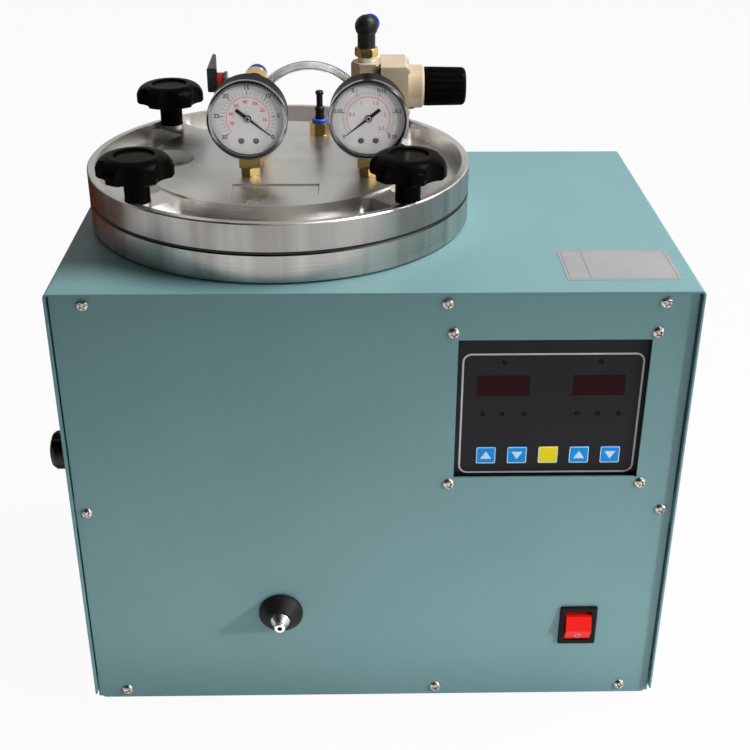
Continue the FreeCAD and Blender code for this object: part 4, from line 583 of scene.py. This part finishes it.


# The last figure of each is the painted shade on the outer wall.
dress(lathed("turned_ring", (0.7, 0.68, 0.65), (0.87, 0.85, 0.82), 0.34, 0.0006, 0.58),
      "wax_pot")
dress(lathed("turned_lid", (0.62, 0.6, 0.57), (0.8, 0.78, 0.75), 0.32, 0.0005, 0.5), "pot_lid")
dress(finish("seal_rubber", (0.01, 0.01, 0.01), (0.03, 0.03, 0.03), 0.6, grain=900, relief=0.2),
      "lid_seal", "pot_gasket")

pocket_w, pocket_d, pocket_y, pocket_deep = 56.5, 21.0, -61.0, 3.2
shade_line_wide, shade_line_t = 0.45, 0.05
floor_z = lid_top - pocket_deep
x0, x1 = lid_middle.x / mm - pocket_w / 2, lid_middle.x / mm + pocket_w / 2
y0 = lid_middle.y / mm + pocket_y - pocket_d / 2
y1 = y0 + pocket_d
# Painted shade: thin dark bars on the pocket's floor along the foot of its back and side walls.
bars = [((x0, y1 - shade_line_wide, floor_z), (x1, y1, floor_z + shade_line_t)),
        ((x0, y0, floor_z), (x0 + shade_line_wide, y1 - shade_line_wide, floor_z + shade_line_t)),
        ((x1 - shade_line_wide, y0, floor_z), (x1, y1 - shade_line_wide, floor_z + shade_line_t))]
flat_boxes("pocket_shade_lines", bars, finish("pocket_painted_shade", (0.1, 0.095, 0.09), (0.25, 0.24, 0.23), 0.7,
                                       grain=700), "lid")

# ---- Star knobs
# Four black phenolic knobs with six lobes and a shallow round recess on top. They screw
# down on plated studs, over plated washers, and clamp the lid.
phenolic = finish("black_phenolic", (0.003, 0.003, 0.002), (0.006, 0.005, 0.004), 0.2, grain=500,
                  relief=0.06, shine=0.015)
dress(phenolic, "star_knob_back_right", "star_knob_back_left", "star_knob_front_left",
      "star_knob_front_right")
dress(bright, "lid_studs", "knob_washers")

# ---- Gauges
# Two 50 mm gauges: enamelled steel can, chromed bezel, clear window, white dial with a
# black outer scale and a red inner one, held by two small screws. The black needle sits
# under a bright ring on its hub.
dress(finish("gauge_enamel", (0.008, 0.006, 0.005), (0.014, 0.011, 0.009), 0.34, grain=300,
             relief=0.05, shine=0.02), "gauge_case_left", "gauge_case_right")
dress(finish("bezel_chrome", (0.3, 0.285, 0.28), (0.4, 0.385, 0.375), 0.16, metal=1.0, grain=300,
             relief=0.02), "gauge_bezel_left", "gauge_bezel_right")
# The white dials are given a mid grey as painted shade.
dress(finish("dial_white", (0.48, 0.475, 0.465), (0.54, 0.535, 0.525), 0.5, grain=300,
             relief=0.02), "gauge_dial_left", "gauge_dial_right")
dress(finish("needle_black", (0.004, 0.004, 0.004), (0.008, 0.008, 0.008), 0.5, grain=500,
             shine=0.2), "gauge_pointer_left", "gauge_pointer_right")
scale_black = finish("scale_black", (0.01, 0.01, 0.01), (0.02, 0.02, 0.02), 0.5)
scale_red = finish("scale_red", (0.5, 0.015, 0.04), (0.6, 0.025, 0.055), 0.5)
steel_grey = finish("dial_screw_steel", (0.05, 0.048, 0.047), (0.12, 0.115, 0.11), 0.5, grain=900)


def clear(name, tint, rough, bend):
    """Glass or clear plastic that lets the lamps through to what is behind it."""
    mat = finish(name, tint, (1.0, 1.0, 1.0), rough, grain=60, relief=0.0, spread=0.01)
    tree = mat.node_tree
    bsdf = tree.nodes["Principled BSDF"]
    bsdf.inputs["Transmission Weight"].default_value = 1.0
    bsdf.inputs["IOR"].default_value = bend
    cover(tree, seen_by(tree, "Is Shadow Ray"), bsdf,
          add(tree, "ShaderNodeBsdfTransparent", (*tint, 1)))
    return mat


dress(clear("gauge_glass", (0.98, 0.98, 0.98), 0.02, 1.12), "gauge_lens_left", "gauge_lens_right")


def dial_print(name, centre, bars, figures, mat):
    """Scale lines and figures of one colour, as one thin layer on a dial."""
    bm = bmesh.new()
    raised = Vector((0, print_t, 0)) * mm
    for angle, near, far, wide in bars:
        turn = math.radians(angle)
        out = Vector((math.cos(turn), 0, math.sin(turn)))
        side = Vector((-out.z, 0, out.x)) * wide / 2
        corners = [out * near - side, out * far - side, out * far + side, out * near + side]
        top = [bm.verts.new((centre + v) * mm - raised) for v in corners]
        foot = [bm.verts.new((centre + v) * mm) for v in corners]
        bm.faces.new(top)
        bm.faces.new(foot[::-1])
        skin(bm, [top, foot])
    for text, angle, reach, size in figures:
        curve = bpy.data.curves.new("figure", "FONT")
        curve.body = text
        curve.size = size * mm
        curve.align_x = "CENTER"
        curve.align_y = "CENTER"
        curve.offset = 0.02 * size * mm
        holder = bpy.data.objects.new("figure", curve)
        bpy.context.scene.collection.objects.link(holder)
        bpy.context.view_layer.update()
        shape = bpy.data.meshes.new_from_object(holder)
        turn = math.radians(angle)
        place = (centre + Vector((math.cos(turn), 0, math.sin(turn))) * reach) * mm - raised
        shape.transform(Matrix.Translation(place) @ Matrix.Rotation(math.pi / 2, 4, "X"))
        bm.from_mesh(shape)
        bpy.data.objects.remove(holder)
        bpy.data.meshes.remove(shape)
        bpy.data.curves.remove(curve)
    return built(bm, name, mat, "lid")


def buttons(name, seats, profile, mat, body):
    """Small turned pieces facing forward, each profile point a radius and a height. A
    profile that starts on the axis is a solid button, any other a ring."""
    steps = 40
    bm = bmesh.new()
    for seat in seats:
        loops = []
        for radius, rise in profile:
            turns = [math.tau * j / steps for j in range(steps if radius else 1)]
            loops.append([bm.verts.new((seat + Vector((radius * math.cos(a), -rise,
                                                       radius * math.sin(a)))) * mm)
                          for a in turns])
        if profile[0][0]:
            skin(bm, loops, closed=True)
            continue
        (tip,), brim = loops[0], loops[1]
        for j in range(steps):
            bm.faces.new((tip, brim[j], brim[(j + 1) % steps]))
        skin(bm, loops[1:])
        bm.faces.new(loops[-1])
    return built(bm, name, mat, body, outward=True, smooth=True)


# Radii, lengths and line widths on the dials in millimetres, angles in degrees.
dial_sweep, dial_end = 256.0, 218.0
tick_in, tick_long, tick_short, tick_bold, tick_fine = 15.7, 2.2, 1.5, 0.5, 0.26
red_in, red_out, red_out_long, red_every = 13.8, 15.1, 15.5, 5
arc_in, arc_out, arc_pieces, arc_overlap = 13.7, 13.95, 96, 1.04
arc_wide = 14.0 * math.radians(dial_sweep / arc_pieces) * arc_overlap
black_text_r, red_text_r, red_text_size = 20.0, 10.9, 3.2
screw_x, screw_z, screw_proud = 4.8, -14.9, 0.5
screw_profile = [(0.0, 0.66), (1.0, 0.64), (1.7, 0.56), (1.95, 0.3), (2.0, 0.0)]
hub_profile = [(1.1, -0.1), (1.15, 0.1), (1.4, 0.16), (1.7, 0.1), (1.75, -0.1)]

# Each gauge's start, sweep, black ticks and how many to a bold one, red ticks, size of the
# black figures, and its black and red figures with their share of the sweep.
scales = {
    "left": (dial_end - dial_sweep, dial_sweep, 30, 5, 38, 4.0,
             [("%d" % v, v / 30) for v in (0, 5, 10, 15, 20, 25, 30)],
             [("%d" % v, v / 76) for v in (10, 20, 30, 40, 50, 60, 70)]),
    "right": (dial_end, -dial_sweep, 50, 10, 50, 3.5,
              [(t, i / 5) for i, t in enumerate(("0", "0.05", "0.1", "0.15", "0.2", "0.25"))],
              [(t, (i + 1) / 5) for i, t in enumerate(("0.5", "1", "1.5", "2", "2.5"))]),
}
for side, (start, sweep, ticks, bold, red_ticks, size, black_text, red_text) in scales.items():
    low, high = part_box("gauge_bezel_" + side)
    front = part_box("gauge_dial_" + side)[0].y / mm + screw_proud
    centre = Vector(((low.x + high.x) / 2 / mm, front, (low.z + high.z) / 2 / mm))
    bars = []
    for i in range(ticks + 1):
        long, wide = (tick_short, tick_fine) if i % bold else (tick_long, tick_bold)
        bars.append((start + sweep * i / ticks, tick_in, tick_in + long, wide))
    figures = [(t, start + sweep * share, black_text_r, size) for t, share in black_text]
    dial_print("dial_black_" + side, centre, bars, figures, scale_black)
    bars = [(start + sweep * i / red_ticks, red_in, red_out if i % red_every else red_out_long,
             tick_fine) for i in range(red_ticks + 1)]
    bars += [(start + sweep * (i + 0.5) / arc_pieces, arc_in, arc_out, arc_wide)
             for i in range(arc_pieces)]
    figures = [(t, start + sweep * share, red_text_r, red_text_size) for t, share in red_text]
    dial_print("dial_red_" + side, centre, bars, figures, scale_red)
    seats = [centre + Vector((x, 0, screw_z)) for x in (-screw_x, screw_x)]
    buttons("dial_screws_" + side, seats, screw_profile, steel_grey, "lid")
    hub = Vector((centre.x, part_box("gauge_pointer_" + side)[0].y / mm, centre.z))
    buttons("hub_ring_" + side, [hub], hub_profile, bright, "gauge_pointer_" + side)

# ---- Vacuum valve, hose and push-in fittings
# Brass valve, tee and fittings under black push-in elbows with blue release collars, joined
# by an arch of clear tube; a black stopper closes the spare fitting. The valve's steel lever
# is dipped black and ends in a red band and a bare tip.
red_band, bare_tip = 6.5, 2.0
dress(turned_brass, "vacuum_valve", "vacuum_tee", "brass_fittings")
dress(finish("fitting_black", (0.005, 0.005, 0.006), (0.011, 0.011, 0.012), 0.42, grain=600,
             relief=0.15, shine=0.3), "elbow_bodies", "tube_plug")
dress(finish("collar_blue", (0.012, 0.1, 0.72), (0.02, 0.14, 0.85), 0.32, grain=400, relief=0.05),
      "release_collars")
dress(clear("clear_tube", (0.27, 0.245, 0.235), 0.05, 1.2), "clear_hose")

lever_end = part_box("valve_lever")[1].x
mat, tree, bsdf = tree_of("lever_sleeve")
where = add(tree, "ShaderNodeTexCoord").outputs["Object"]
along = add(tree, "ShaderNodeSeparateXYZ", where).outputs["X"]
grain = noise(tree, where, 700.0, 3.0)
tone = ramp(tree, grain, (0.3, 0.006), (0.7, 0.014))
for start, dark, light in ((red_band, (0.25, 0.012, 0.006), (0.4, 0.03, 0.012)),
                           (bare_tip, (0.3, 0.29, 0.27), (0.5, 0.48, 0.45))):
    past = reckon(tree, "GREATER_THAN", along, lever_end - start * mm)
    tone = mixed(tree, past, tone, ramp(tree, grain, (0.3, dark), (0.7, light)))
tree.links.new(past, bsdf.inputs["Metallic"])
surface(tree, bsdf, tone, roughness(tree, grain, 0.32, 0.42, near=0.0, far=1.0), grain, 0.15,
        0.0001)
dress(mat, "valve_lever")

# ---- Air regulator
# Die-cast body and bonnet in champagne paint, ribbed black phenolic knob, and white thread
# tape round the inlet's brass thread.
dress(finish("champagne_paint", (0.6, 0.48, 0.33), (0.72, 0.6, 0.43), 0.36, metal=0.15,
             grain=900, relief=0.1), "regulator_body", "regulator_bonnet")
dress(phenolic, "regulator_knob")
low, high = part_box("regulator_knob")
tape_x, tape_y = 6.0, (low.y + high.y) / 2 / mm
tape_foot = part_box("regulator_body")[1].z / mm - 0.5
tape_radius, tape_long, tape_rows, tape_steps = 5.85, 3.4, 9, 48
bm = bmesh.new()
loops = []
for i in range(tape_rows + 1):
    loop = []
    for j in range(tape_steps):
        a = 2 * math.pi * j / tape_steps
        r = tape_radius + 0.12 * math.sin(3 * a + 2.1 * i) + 0.08 * math.sin(7 * a - 1.3 * i)
        loop.append(bm.verts.new(Vector((tape_x + r * math.cos(a), tape_y + r * math.sin(a),
                                         tape_foot + tape_long * i / tape_rows)) * mm))
    loops.append(loop)
skin(bm, loops)
bm.faces.new(loops[0][::-1])
bm.faces.new(loops[-1])
built(bm, "thread_tape", finish("tape_white", (0.75, 0.75, 0.74), (0.85, 0.85, 0.84), 0.6,
                                grain=700, relief=0.4), "lid", smooth=True)

# ---- Inner pieces
# Steel-sheathed heater band clamped round the pot, varnished transformer and solenoid
# valves bolted inside the cabinet. They stay behind the closed panels.
dress(finish("sheath_steel", (0.4, 0.4, 0.38), (0.55, 0.55, 0.53), 0.4, metal=1.0), "band_heater")
dress(finish("core_varnish", (0.08, 0.07, 0.06), (0.14, 0.13, 0.12), 0.5, grain=300),
      "transformer", "solenoid_valves")
